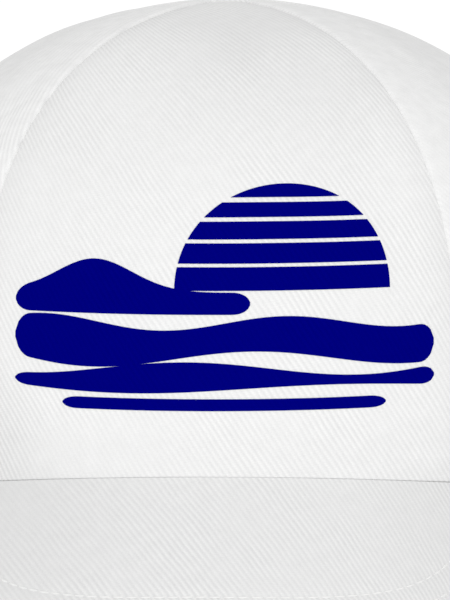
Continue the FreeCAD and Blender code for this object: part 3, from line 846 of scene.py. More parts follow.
def add_tube(
    mesh: bmesh.types.BMesh, rings: Sequence[Sequence[bmesh.types.BMVert]],
    flat: Sequence | None = None, capped: bool = True,
) -> None:
    """Adds faces between neighbouring rings of vertices, and over both ends.

    Args:
        mesh: The mesh that holds the vertices.
        rings: Rings of vertices.
        flat: Flat coordinates of each ring, with the first place once more at its end.
        capped: Whether the ends get a face.
    """
    count = len(rings[0])
    for i, (first, second) in enumerate(zip(rings, rings[1:])):
        for j in range(count):
            k = (j + 1) % count
            face = mesh.faces.new((first[j], first[k], second[k], second[j]))
            if flat is None:
                continue
            layer = mesh.loops.layers.uv["flat"]
            spots = (flat[i][j], flat[i][j + 1], flat[i + 1][j + 1], flat[i + 1][j])
            for loop, spot in zip(face.loops, spots):
                loop[layer].uv = spot
    if capped:
        mesh.faces.new(rings[0])
        mesh.faces.new(rings[-1])


def cut_away(piece: bpy.types.Object, cutter: bmesh.types.BMesh) -> None:
    """Cuts a closed mesh out of a piece.

    Args:
        piece: The piece to cut, which keeps its name and place.
        cutter: The mesh to take away, in the row frame. It is freed.
    """
    data = bpy.data.meshes.new("cutter")
    cutter.to_mesh(data)
    cutter.free()
    tool = bpy.data.objects.new("cutter", data)
    bpy.context.scene.collection.objects.link(tool)
    cut = piece.modifiers.new("hole", "BOOLEAN")
    cut.object = tool
    cut.operation = "DIFFERENCE"
    cut.solver = "EXACT"
    bpy.context.view_layer.update()
    shown = piece.evaluated_get(bpy.context.evaluated_depsgraph_get())
    mesh = bpy.data.meshes.new_from_object(shown)
    piece.modifiers.clear()
    old = piece.data
    piece.data = mesh
    bpy.data.meshes.remove(old)
    mesh.name = piece.name
    bpy.data.objects.remove(tool)
    bpy.data.meshes.remove(data)


@dataclass(frozen=True)
class Stitch:
    """The bead of thread that shows between two needle holes."""

    length: float = 2.5
    pitch: float = 3.1
    width: float = 0.45
    height: float = 0.3
    seat_share: float = 0.15
    ring: int = 6
    smooth_angle: float = 80.0
    profile_shares: tuple[tuple[float, float], ...] = (
        (-0.5, 0.25), (-0.36, 0.85), (0.0, 1.0), (0.36, 0.85), (0.5, 0.25)
    )


LINING_STITCH = Stitch(2.2, 2.9, 0.4, 0.28)
STRAP_STITCH = Stitch(2.2, 2.9, 0.42, 0.3)


@dataclass(frozen=True)
class Maker:
    """Turns points into pieces that ride on the cap."""

    frame: HeadFrame

    def verts(self, mesh: bmesh.types.BMesh, points: np.ndarray) -> list[bmesh.types.BMVert]:
        """Adds vertices at points of the head opening's frame."""
        return [mesh.verts.new(p) for p in self.frame.place(points)]

    def finish_piece(
        self, name: str, mesh: bmesh.types.BMesh, material: bpy.types.Material, slot: Slot,
        nodes: Sequence[str] = (), smooth_angle: float = 60.0,
    ) -> bpy.types.Object:
        """Makes an object of a mesh that is already in the row frame.

        Args:
            name: The piece's name.
            mesh: The mesh, which is freed.
            material: The finish of all of it.
            slot: The record's material slot, which is not used.
            nodes: The nodes that it stands for.
            smooth_angle: Edges sharper than this stay sharp, in degrees.

        Returns:
            The new object.
        """
        bmesh.ops.recalc_face_normals(mesh, faces=mesh.faces)
        data = bpy.data.meshes.new(name)
        for face in mesh.faces:
            face.smooth = True
        mesh.to_mesh(data)
        mesh.free()
        data.set_sharp_from_angle(angle=math.radians(smooth_angle))
        data.materials.append(material)
        piece = bpy.data.objects.new(name, data)
        bpy.context.scene.collection.objects.link(piece)
        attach(piece, CAP)
        if nodes:
            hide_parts(*nodes)
        LOG.info("%s: %d faces", name, len(data.polygons))
        return piece

    def shell(
        self, outer: np.ndarray, inner: np.ndarray, flat: np.ndarray, closed: bool = False,
        gaps: np.ndarray | None = None,
    ) -> bmesh.types.BMesh:
        """A closed skin between two grids of the same size.

        Args:
            outer: Rows of points in the head opening's frame.
            inner: The same for the other side.
            flat: Flat coordinates of the cloth at each point, in millimetres.
            closed: Whether each row is a loop.
            gaps: Distance of each point from the nearest seam, in millimetres.

        Returns:
            The mesh in the row frame, with a layer called flat, and one called seam for gaps.
        """
        mesh = cloth_mesh()
        layers = {"flat": flat}
        if gaps is not None:
            mesh.loops.layers.uv.new("seam")
            layers["seam"] = np.stack([gaps, np.zeros_like(gaps)], axis=-1)
        rows, columns = outer.shape[:2]
        front, back = ([self.verts(mesh, row) for row in grid] for grid in (outer, inner))
        place = {
            vert: (i, j)
            for grid in (front, back) for i, row in enumerate(grid) for j, vert in enumerate(row)
        }
        span = columns if closed else columns - 1
        pairs = [(j, (j + 1) % columns) for j in range(span)]
        quads = []
        for i in range(rows - 1):
            for j, k in pairs:
                quads.append((front[i][j], front[i][k], front[i + 1][k], front[i + 1][j]))
                quads.append((back[i][j], back[i + 1][j], back[i + 1][k], back[i][k]))
        for j, k in pairs:
            quads.append((front[0][j], back[0][j], back[0][k], front[0][k]))
            quads.append((front[-1][j], front[-1][k], back[-1][k], back[-1][j]))
        if not closed:
            for i in range(rows - 1):
                quads.append((front[i][0], front[i + 1][0], back[i + 1][0], back[i][0]))
                quads.append((front[i][-1], back[i][-1], back[i + 1][-1], front[i + 1][-1]))
        for quad in quads:
            mesh.faces.new(quad)
        for label, grid in layers.items():
            layer = mesh.loops.layers.uv[label]
            for face in mesh.faces:
                for loop in face.loops:
                    loop[layer].uv = grid[place[loop.vert]]
        return mesh

    def stitches(
        self, name: str, rows: Iterable[tuple[np.ndarray, np.ndarray]],
        material: bpy.types.Material, stitch: Stitch = Stitch(),
    ) -> bpy.types.Object:
        """Thread along lines on the cloth, one small bead for each stitch.

        Args:
            name: The piece's name.
            rows: Lines as points and outward normals, in the head opening's frame.
            material: The thread's finish.
            stitch: The bead's sizes.

        Returns:
            The object with all the stitches.
        """
        mesh = bmesh.new()
        turns = np.arange(stitch.ring) * math.tau / stitch.ring
        aside = np.cos(turns) * stitch.width / 2
        above = (np.sin(turns) / 2 + stitch.seat_share) * stitch.height
        for points, normals in rows:
            run = run_along(points)
            count = int(run[-1] / stitch.pitch)
            middles = (np.arange(count) + 0.5) * run[-1] / max(count, 1)
            half = stitch.length / 2
            before, spots, after = (follow(middles + o, run, points) for o in (-half, 0, half))
            ups = unit_rows(follow(middles, run, normals))
            ways = unit_rows(after - before)
            for spot, up, way in zip(spots, ups, ways):
                section = np.outer(aside, np.cross(up, way)) + np.outer(above, up)
                add_tube(mesh, [
                    self.verts(mesh, spot + way * place * stitch.length + section * swell)
                    for place, swell in stitch.profile_shares
                ])
        return self.finish_piece(name, mesh, material, Slot.THREAD, (), stitch.smooth_angle)


@dataclass(frozen=True)
class CapWork:
    """What every sub-assembly on the crown is made with."""

    crown: Crown
    maker: Maker
    finishes: Finishes


# Crown


@dataclass(frozen=True)
class CrownPanels(CapWork):
    """The five cloth panels, with their turned seams and the soft folds beside them.

    At each seam the allowances are pressed away from the front, so that the cloth behind the
    seam stands up over them and the cloth before it dips to the stitches.
    """

    thickness: float = 1.2
    row_step: float = 2.4
    column_step: float = 3.0
    seam_steps: tuple[float, ...] = (0, 0.25, 0.6, 1.0, 1.6, 2.4, 3.4, 4.6, 6.0, 7.6, 9.4)
    dipped: tuple[float, ...] = (
        -0.55, -0.52, -0.49, -0.46, -0.41, -0.35, -0.28, -0.20, -0.12, -0.05, 0.0
    )
    raised: tuple[float, ...] = (-0.40, -0.02, 0.18, 0.28, 0.34, 0.38, 0.40, 0.40, 0.34, 0.20, 0.0)
    seam_room_share: float = 0.45
    least_relief_share: float = 0.25
    hem_steps: tuple[float, ...] = (0, 0.2, 0.5, 1.2, 2.0)
    hem_relief: tuple[float, ...] = (-0.18, -0.05, 0.0, 0.04, 0.0)
    fold_height: float = 0.42
    fold_length: float = 25.0
    fold_start: float = 9.0
    fold_onset: float = 6.0
    fold_fade: float = 26.0
    fold_foot: float = 20.0
    fold_rise: float = 60.0
    fold_lean: float = 0.02
    fold_sway: float = 0.4
    sway_angle: float = 9.0
    front_fold_share: float = 0.2
    ripple_height: float = 0.16
    ripple_along: float = 7.5
    ripple_turn: float = 0.11
    cross_along: float = 19.0
    cross_turn: float = 0.21
    front_ripple_share: float = 0.35
    calm_radius: float = 9.0
    foot_start: float = 60.0
    foot_end: float = 155.0
    foot_height: float = 5.0
    foot_step: float = 1.0
    smooth_angle: float = 75.0

    def grid(self, start: float, end: float) -> tuple[np.ndarray, np.ndarray, np.ndarray]:
        """Angles, lengths up the meridian and seam relief over one panel.

        Args:
            start: Plan angle of the panel's first seam.
            end: Plan angle of its last seam, which is larger.

        Returns:
            Three grids of rows by columns.
        """
        crown = self.crown
        top = crown.length()
        lows = np.array(self.hem_steps)
        rows = np.concatenate([lows, spread(lows[-1], top, self.row_step)[1:]])
        steps = np.array(self.seam_steps)
        middle = (start + end) / 2
        wide = math.radians(end - start)
        count = int(crown.oval(np.array(middle)) * wide / self.column_step)
        inner = np.linspace(0, 1, count)[1:-1]
        angles, lengths, reliefs = [], [], []
        for row in rows:
            radii = crown.radius_at(np.array([start, end]), np.array([row, row]))
            scale = min(1.0, radii.min() * wide * self.seam_room_share / steps[-1])
            first = start + np.degrees(steps * scale / radii[0])
            last = end - np.degrees(steps * scale / radii[1])
            between = first[-1] + (last[-1] - first[-1]) * inner
            line = np.concatenate([first, between, last[::-1]])
            low = crown.along_at_height(crown.rim(line))
            along = low + (top - low) * (row / top)
            near, far = (
                np.array(self.raised if abs(edge) < abs(middle) else self.dipped)
                * min(1.0, scale + self.least_relief_share)
                for edge in (start, end)
            )
            relief = np.concatenate([near, np.zeros(len(between)), far[::-1]])
            relief = relief + np.interp(row, self.hem_steps, self.hem_relief)
            angles.append(line)
            lengths.append(along)
            reliefs.append(relief + self.soft_folds(line, along))
        return np.array(angles), np.array(lengths), np.array(reliefs)

    def seam_gap(self, angle: np.ndarray, along: np.ndarray) -> np.ndarray:
        """Distance of each place on the crown from the nearest seam."""
        near = np.min([np.abs(np.abs(angle) - seam) for seam in self.crown.seams], axis=0)
        return np.radians(near) * self.crown.radius_at(angle, along)

    def soft_folds(self, angle: np.ndarray, along: np.ndarray) -> np.ndarray:
        """Heights of the shallow folds that hang from the top beside the seams.

        Args:
            angle: Plan angles in degrees from the front.
            along: Lengths up the meridian.

        Returns:
            How far the cloth stands out of the smooth dome at each place.
        """
        crown = self.crown
        past = self.seam_gap(angle, along) - self.fold_start
        wave = -np.sin(
            math.tau * past / self.fold_length + self.fold_lean * along
            + self.fold_sway * np.sin(angle / self.sway_angle)
        )
        fade = np.exp(-np.clip(past, 0, None) / self.fold_fade)
        upper = np.clip((along - self.fold_foot) / self.fold_rise, 0, 1)
        front = np.abs(angle) < crown.front_seam
        fold = np.where(front, self.front_fold_share, 1.0) * self.fold_height * wave * fade * upper
        ripple = np.sin(along / self.ripple_along + angle * self.ripple_turn)
        ripple = ripple * np.sin(angle * self.cross_turn + along / self.cross_along)
        ripple = ripple * np.where(front, self.front_ripple_share, 1.0) * self.ripple_height
        level = crown.along_at_height(np.array(crown.vent_height))
        radius = crown.radius_at(angle, along)
        calm = eased(np.clip(past / self.fold_onset, 0, 1))
        for vent in crown.vents:
            off = np.hypot(np.radians(np.abs(angle) - vent) * radius, along - level)
            calm = calm * (1 - np.exp(-((off / self.calm_radius) ** 2)))
        return calm * (fold + ripple)

    def stitch_line(self, angle: np.ndarray, along: np.ndarray) -> tuple[np.ndarray, np.ndarray]:
        """Points and normals of a line of thread that lies on the folded cloth."""
        points = self.crown.at(angle, along, lift=THREAD_SEAT + self.soft_folds(angle, along))
        return points, self.crown.normal(points)

    def make_panel(self, name: str, node: str, start: float, end: float) -> bpy.types.Object:
        """Builds one panel.

        Args:
            name: The piece's name.
            node: The node that it stands for.
            start: Plan angle of its first seam.
            end: Plan angle of its last seam.

        Returns:
            The panel.
        """
        angle, along, relief = self.grid(start, end)
        outer = self.crown.at(angle, along, lift=relief)
        inner = self.crown.at(angle, along, lift=-self.thickness)
        across = np.radians(angle - (start + end) / 2) * self.crown.radius_at(angle, along)
        flat = np.stack([across, along], axis=-1)
        mesh = self.maker.shell(outer, inner, flat, gaps=self.seam_gap(angle, along))
        place = node.split("_")[0]
        cloths = {
            "front": self.finishes.front_twill, "side": self.finishes.side_twill,
            "rear": self.finishes.rear_twill,
        }
        piece = self.maker.finish_piece(
            name, mesh, cloths[place], Slot.TWILL, [node], self.smooth_angle
        )
        return piece

    def make(self) -> dict[str, bpy.types.Object]:
        """Builds all five panels, and the row that holds the sweatband beside the visor."""
        front, side, back = self.crown.seams
        made = {"front": self.make_panel("front_panel_cloth", "front_panel", -front, front)}
        for hand in Hand:
            for kind, span in (("side", (front, side)), ("rear", (side, back))):
                start, end = sorted(hand.value * a for a in span)
                label = "%s_panel_%s" % (kind, hand.word)
                made[label] = self.make_panel(label + "_cloth", label, start, end)
        lines = []
        for hand in Hand:
            angle = hand.value * spread(self.foot_start, self.foot_end, self.foot_step)
            along = self.crown.along_at_height(self.crown.rim(angle) + self.foot_height)
            lines.append(self.stitch_line(angle, along))
        self.maker.stitches("foot_stitching", lines, self.finishes.thread)
        return made


@dataclass(frozen=True)
class ArchOpening:
    """The cut behind, with its rolled edge and two rows of stitching."""

    cloth: CrownPanels
    roll: float = 1.0
    roll_share: float = 0.8
    roll_points: int = 12
    roll_flat_step: float = 0.55
    cut_step: float = 1.0
    cut_foot: float = -8.0
    cut_span: tuple[float, float] = (40.0, 130.0)
    edge_step: float = 1.2
    stitch_offs: tuple[float, ...] = (3.0, 8.0)
    stitch_step: float = 1.5
    stitch_foot: float = 3.5
    smooth_angle: float = 70.0

    def cut(self, panel: bpy.types.Object) -> None:
        """Cuts the opening out of one rear panel."""
        outline = REAR_ARCH.line(0.0, self.cut_step)
        left, right = outline[0, 0], outline[-1, 0]
        outline = np.vstack([[left, self.cut_foot], outline, [right, self.cut_foot]])
        cutter = bmesh.new()
        ends = []
        for depth in self.cut_span:
            spots = np.insert(outline, 1, depth, axis=1)
            ends.append(self.cloth.maker.verts(cutter, spots))
        add_tube(cutter, ends)
        bmesh.ops.recalc_face_normals(cutter, faces=cutter.faces)
        cut_away(panel, cutter)

    def edge(self) -> bpy.types.Object:
        """The cloth rolled over the cut edge."""
        crown, maker, finishes = self.cloth.crown, self.cloth.maker, self.cloth.finishes
        angle, along = crown.rear_place(REAR_ARCH.line(0.0, self.edge_step))
        points = crown.at(angle, along, lift=-crown.wall / 2)
        out = crown.normal(points)
        side = np.cross(unit_rows(np.gradient(points, axis=0)), out) * self.roll_share
        turns = np.arange(self.roll_points) * math.tau / self.roll_points
        mesh = cloth_mesh()
        rings, flat = [], []
        for point, up, across, run in zip(points, out, side, run_along(points)):
            section = np.outer(np.cos(turns), up) + np.outer(np.sin(turns), across)
            rings.append(maker.verts(mesh, point + section * self.roll))
            flat.append([(run, k * self.roll_flat_step) for k in range(self.roll_points + 1)])
        add_tube(mesh, rings, flat)
        return maker.finish_piece(
            "rear_arch_rolled_edge", mesh, finishes.twill, Slot.TWILL, (), self.smooth_angle
        )

    def make(self, panels: dict[str, bpy.types.Object]) -> None:
        """Cuts both rear panels and finishes the edge."""
        for hand in Hand:
            self.cut(panels["rear_panel_" + hand.word])
        self.edge()
        lines = []
        for off in self.stitch_offs:
            line = REAR_ARCH.line(off, self.stitch_step)
            line = line[line[:, 1] > self.stitch_foot]
            lines.append(self.cloth.stitch_line(*self.cloth.crown.rear_place(line)))
        self.cloth.maker.stitches("rear_arch_stitching", lines, self.cloth.finishes.thread)


# Visor, linings and trims


@dataclass(frozen=True)
class Visor:
    """The bent visor: two cloths, the turned edge and the rows of stitching."""

    shape: VisorShape
    maker: Maker
    finishes: Finishes
    step: float = 0.9
    stitch_rows: tuple[float, ...] = (5.0, 11.0, 17.0, 23.0, 29.0, 35.0)
    channel_depth: float = 0.22
    channel_width: float = 0.7
    row_points: int = 401
    row_margin: float = 2.0
    thread_rise: float = 0.12
    swell: float = 0.1
    edge_drop: float = 0.35
    edge_soft: float = 3.0
    bead_points: int = 241
    bead_ring: int = 9
    bead_lap: float = 0.4
    tip_points: int = 5
    tip_share: float = 0.66
    tip_gap: float = 0.1
    tuck: float = 0.46
    tuck_end_share: float = 0.5
    strip_rows: tuple[float, ...] = (-2.4, -1.6, -0.8, -0.08, -0.04, 1.2, 4.0, 8.0)
    strip_outside: int = 4
    strip_insets: tuple[float, float] = (0.28, 1.25)
    strip_thickness: float = 0.25
    strip_step: float = 1.0

    def cloth(self, name: str, node: str, top: bool) -> bpy.types.Object:
        """One of the two cloths.

        Args:
            name: The piece's name.
            node: The node that it stands for.
            top: Whether it is the upper cloth.

        Returns:
            The cloth.
        """
        shape = self.shape
        half = shape.half_width() - shape.fold
        across = spread(-half, half, self.step)
        start = shape.start(across)
        if top:
            start = start - self.tuck * (1 - self.tuck_end_share * (across / half) ** 2)
        end = shape.edge_at(across) - shape.fold
        rows = np.linspace(0, 1, int(shape.length / self.step))
        wide = np.broadcast_to(across, (len(rows), len(across)))
        along = start + (end - start) * rows[:, None]
        gap = shape.row_at(wide, along)
        dip = self.edge_drop * (1 - np.clip(gap / self.edge_soft, 0, 1)) ** 2 - self.swell
        for row in self.stitch_rows:
            dip += self.channel_depth * np.exp(-(((gap - row) / self.channel_width) ** 2))
        face, back = dip, shape.cloth
        if not top:
            face, back = shape.thickness - face, shape.thickness - back
        outer = shape.at(wide, along, face)
        inner = shape.at(wide, along, back)
        flat = np.stack([wide * (1 if top else -1), -along], axis=-1)
        mesh = self.maker.shell(outer, inner, flat)
        piece = self.maker.finish_piece(name, mesh, self.finishes.visor_twill, Slot.TWILL, [node])
        return piece

    def edge(self) -> bpy.types.Object:
        """The rounded bead where the cloths turn in round the board."""
        shape = self.shape
        rim, inward = shape.outline(self.bead_points)
        count = self.tip_points
        low = float(shape.start(rim[0, 0])) + self.tip_gap
        side = np.linspace(low, rim[0, 1], count + 1)[:-1]
        left = np.stack([np.full(count, rim[0, 0]), side], axis=1)
        rim = np.vstack([left, rim, left[::-1] * [-1, 1]])
        inward = np.vstack([[[1, 0]] * count, inward, [[-1, 0]] * count])
        thin = np.linspace(self.tip_share, 1.0, count)
        slim = np.concatenate([thin, np.ones(self.bead_points), thin[::-1]])
        half = shape.thickness / 2
        back = rim + inward * (shape.fold + self.bead_lap)
        outer, inner, flat = [], [], []
        for turn in np.linspace(-math.pi / 2, math.pi / 2, self.bead_ring):
            out = rim + inward * shape.fold * (1 - math.cos(turn))
            depth = half + half * math.sin(turn) * slim
            outer.append(shape.at(out[:, 0], out[:, 1], depth))
            inner.append(shape.at(back[:, 0], back[:, 1], depth))
            flat.append(np.stack([rim[:, 0], rim[:, 1] + depth], axis=-1))
        mesh = self.maker.shell(np.array(outer), np.array(inner), np.array(flat))
        return self.maker.finish_piece(
            "visor_turned_edge", mesh, self.finishes.visor_twill, Slot.TWILL, ["visor_edge_fold"]
        )

    def row_lines(self, top: bool) -> list[tuple[np.ndarray, np.ndarray]]:
        """Lines of the stitching on one side, each cut off where it meets the crown."""
        shape = self.shape
        rim, inward = shape.outline(self.row_points)
        sunk = self.channel_depth - self.thread_rise
        face, outward = (sunk, 1) if top else (shape.thickness - sunk, -1)
        lines = []
        for row in self.stitch_rows:
            flat = rim + inward * row * shape.spacing(inward)[:, None]
            across, along = flat[:, 0], flat[:, 1]
            keep = along > shape.start(across) + self.row_margin
            keep &= np.abs(across) < shape.half_width() - self.row_margin
            keep &= np.concatenate([[True], np.diff(across) > 0])
            across, along = across[keep], along[keep]
            lines.append((shape.at(across, along, face), shape.normals(across) * outward))
        return lines

    def seam_strip(self) -> bpy.types.Object:
        """The visor's seam allowance, which runs up between the crown and the sweatband."""
        crown = self.shape.crown
        angle = spread(-self.shape.end_angle, self.shape.end_angle, self.strip_step)
        height = crown.rim(angle) + np.array(self.strip_rows)[:, None]
        outside = np.arange(len(self.strip_rows)) < self.strip_outside
        inset = np.where(outside, *self.strip_insets)[:, None]
        oval = crown.oval(angle)
        turn = np.broadcast_to(np.radians(angle), height.shape)
        outer, inner = (
            about_axis(oval - inset - depth, turn, height) for depth in (0.0, self.strip_thickness)
        )
        mesh = self.maker.shell(outer, inner, np.stack([turn * oval, height], axis=-1))
        return self.maker.finish_piece(
            "visor_seam_strip", mesh, self.finishes.visor_twill, Slot.TWILL
        )

    def make(self) -> None:
        """Builds the whole visor."""
        self.seam_strip()
        self.cloth("visor_upper_cloth", "visor_top_cloth", True)
        self.cloth("visor_lower_cloth", "visor_under_cloth", False)
        self.edge()
        thread = self.finishes.thread
        self.maker.stitches("visor_stitching_top", self.row_lines(True), thread)
        self.maker.stitches("visor_stitching_under", self.row_lines(False), thread)


@dataclass(frozen=True)
class Sweatband:
    """The band against the forehead, softly rounded and stitched at its foot."""

    height: float = 32.0
    end: float = 147.0
    lift: float = 0.5
    thickness: float = 1.2
    step: float = 1.4
    lip_steps: tuple[float, ...] = (0, 0.4, 1.0)
    lip: float = 1.6
    lip_share: float = 0.04
    lip_drop: float = 0.5
    puff: float = 0.45
    puff_foot: float = 4.0
    puff_power: float = 0.6
    groove_at: float = 3.5
    groove_depth: float = 0.35
    groove_width: float = 0.8
    wave: float = 0.12
    waves: float = 41.0
    wave_lean: float = 0.11
    top_row: float = 2.5
    thread_lift: float = 0.1

    def rows(self) -> np.ndarray:
        """Heights above the band's foot, closer at both lips."""
        lips = np.array(self.lip_steps)
        between = spread(self.lip, self.height - self.lip, self.step)
        return np.concatenate([lips, between, self.height - lips[::-1]])

    def relief(self, rows: np.ndarray) -> np.ndarray:
        """How far the band stands in towards the head at heights above its foot."""
        bulge = np.clip((rows - self.puff_foot) / (self.height - self.puff_foot), 0, 1)
        bulge = self.puff * np.sin(np.pi * bulge) ** self.puff_power
        groove = self.groove_depth * np.exp(-(((rows - self.groove_at) / self.groove_width) ** 2))
        ends = [0, self.lip_share, 1 - self.lip_share, 1]
        lips = np.interp(rows / self.height, ends, [self.lip_drop, 0, 0, self.lip_drop])
        return bulge - groove - lips


@dataclass(frozen=True)
class Linings(CapWork):
    """The sweatband, the tapes over the seams and the binding round the rear opening."""

    sweatband: Sweatband = Sweatband()
    layer: float = 1.6
    tape_width: float = 14.0
    tape_thickness: float = 0.6
    tape_top: float = 15.0
    tape_gap: float = 1.5
    tape_step: float = 2.0
    tape_edges: tuple[float, ...] = (0, 0.5, 1.6)
    tape_inner: float = 3.5
    tape_swell: tuple[float, ...] = (-0.15, 0.05, -0.05, 0.12, 0.2, 0.12, -0.05, 0.05, -0.15)
    tape_rows: tuple[int, int] = (2, -3)
    binding_thickness: float = 0.8
    binding_swell: tuple[float, ...] = (-0.2, 0.02, 0.08, 0.1, 0.08, 0.02, -0.2)
    binding_points: int = 73
    binding_rows: tuple[int, int] = (1, 5)
    strap_top: float = 25.0

    def lay(
        self, name: str, node: str, angle: np.ndarray, along: np.ndarray, deep: np.ndarray,
        flat: np.ndarray,
    ) -> tuple[bpy.types.Object, np.ndarray]:
        """Lays a lining on the crown's inside.

        Args:
            name: The piece's name.
            node: The node that it stands for.
            angle: Plan angles of its points.
            along: Their lengths up the meridian.
            deep: How thick the lining is there.
            flat: Their flat coordinates.

        Returns:
            The piece, and the points of its face.
        """
        back = self.crown.at(angle, along, lift=-self.layer)
        face = self.crown.at(angle, along, lift=-self.layer - deep)
        mesh = self.maker.shell(face, back, flat)
        return self.maker.finish_piece(name, mesh, self.finishes.lining, Slot.LINING, [node]), face

    def band(self) -> bpy.types.Object:
        """Builds the sweatband and its two rows of stitches."""
        crown, band = self.crown, self.sweatband
        angle = spread(-band.end, band.end, band.step)
        rows = band.rows()
        wide = np.broadcast_to(angle, (len(rows), len(angle)))
        low = crown.rim(angle) + band.lift
        height = low + rows[:, None]
        along = crown.along_at_height(height)
        lean = band.wave * np.sin(np.radians(wide) * band.waves + rows[:, None] * band.wave_lean)
        deep = band.thickness + band.relief(rows)[:, None] + lean
        across = np.radians(wide) * crown.oval(wide)
        flat = np.stack([across, height], axis=-1)
        piece, _ = self.lay("sweatband_cloth", "sweatband", wide, along, deep, flat)
        lines = []
        for row in (band.groove_at, band.height - band.top_row):
            along = crown.along_at_height(low + row)
            points = crown.at(angle, along, lift=-self.layer - band.thickness - band.thread_lift)
            lines.append((points, -crown.normal(points)))
        self.maker.stitches("sweatband_stitching", lines, self.finishes.thread)
        return piece

    def tape(self, name: str, node: str, seam: float, low: float) -> bpy.types.Object:
        """The tape over one seam's inside.

        Args:
            name: The piece's name.
            node: The node that it stands for.
            seam: Plan angle of the seam.
            low: Length up the meridian of its foot.

        Returns:
            The tape.
        """
        crown = self.crown
        run, share, _ = crown.table(self.layer)
        mean = float(crown.oval(np.array(seam), self.layer))
        along = spread(low, float(np.interp(-self.tape_top, -share * mean, run)), self.tape_step)
        half = self.tape_width / 2
        side = [half - edge for edge in self.tape_edges] + [self.tape_inner]
        offs = np.array([-off for off in side] + [0] + side[::-1])
        radius = crown.radius_at(np.full_like(along, seam), along)
        angle = seam + np.degrees(offs / radius[:, None])
        lengths = np.broadcast_to(along[:, None], angle.shape)
        deep = self.tape_thickness + np.broadcast_to(self.tape_swell, angle.shape)
        flat = np.stack([np.broadcast_to(offs, angle.shape), lengths], axis=-1)
        piece, face = self.lay(name, node, angle, lengths, deep, flat)
        lines = [(face[:, k], -crown.normal(face[:, k])) for k in self.tape_rows]
        self.maker.stitches(name + "_stitching", lines, self.finishes.thread, LINING_STITCH)
        return piece

    def binding(self) -> bpy.types.Object:
        """The tape that lines the rear opening's edge, bent round the arch."""
        crown = self.crown
        rise = self.strap_top + self.tape_gap - REAR_ARCH.spring
        outermost = REAR_ARCH.radius + REAR_ARCH.binding
        lines = []
        for radius in np.linspace(REAR_ARCH.radius, outermost, len(self.binding_swell)):
            start = math.asin(rise / radius)
            turn = np.linspace(start, math.pi - start, self.binding_points)
            lines.append(REAR_ARCH.bow(radius, turn))
        grid = np.array(lines)
        angle, along = crown.rear_place(grid)
        deep = self.binding_thickness + np.array(self.binding_swell)[:, None]
        piece, face = self.lay("rear_arch_tape", "arch_binding", angle, along, deep, grid)
        rows = [(face[k], -crown.normal(face[k])) for k in self.binding_rows]
        self.maker.stitches("rear_arch_tape_stitching", rows, self.finishes.thread, LINING_STITCH)
        return piece

    def make(self) -> None:
        """Builds every lining."""
        crown = self.crown
        self.band()
        for kind, angle in (("front", crown.front_seam), ("side", crown.side_seam)):
            for hand in Hand:
                seam = hand.value * angle
                height = crown.rim(np.array(seam)) + self.sweatband.height + self.tape_gap
                node = "seam_tape_%s_%s" % (kind, hand.word)
                self.tape(node + "_cloth", node, seam, float(crown.along_at_height(height)))
        height = REAR_ARCH.spring + REAR_ARCH.radius + REAR_ARCH.binding + self.tape_gap
        low = float(crown.along_at_height(np.array(height)))
        self.tape("seam_tape_rear_cloth", "seam_tape_rear", BACK_ANGLE, low)
        self.binding()


@dataclass(frozen=True)
class TopButton(CapWork):
    """The cloth-covered button, a spun dome whose cloth is drawn in at its foot."""

    radius: float = 7.5
    height: float = 4.6
    gap: float = 0.35
    spokes: int = 64
    puckers: int = 16
    pucker_share: float = 0.012
    puckered: range = range(4, 9)
    profile_shares: tuple[tuple[float, float], ...] = (
        (0.02, 1.0), (0.2, 0.985), (0.4, 0.93), (0.6, 0.82), (0.76, 0.64), (0.87, 0.44),
        (0.95, 0.24), (1.0, 0.08), (1.05, -0.04), (1.11, -0.14), (1.16, -0.26), (0.9, -0.26),
        (0.02, -0.2),
    )

    def make(self) -> bpy.types.Object:
        """Builds the button."""
        base = self.crown.height + self.gap
        turn = np.arange(self.spokes + 1) * math.tau / self.spokes
        folds = self.pucker_share * np.sin(turn * self.puckers)
        mesh = cloth_mesh()
        rings, flat = [], []
        for index, (share, rise) in enumerate(self.profile_shares):
            ring = share * self.radius * (1 + folds * (index in self.puckered))
            level = np.full_like(turn, base + rise * self.height)
            rings.append(self.maker.verts(mesh, about_axis(ring, turn, level)[:-1]))
            flat.append(about_axis(ring, turn))
        add_tube(mesh, rings, flat)
        return self.maker.finish_piece(
            "button_cloth", mesh, self.finishes.twill, Slot.TWILL, ["crown_button"]
        )


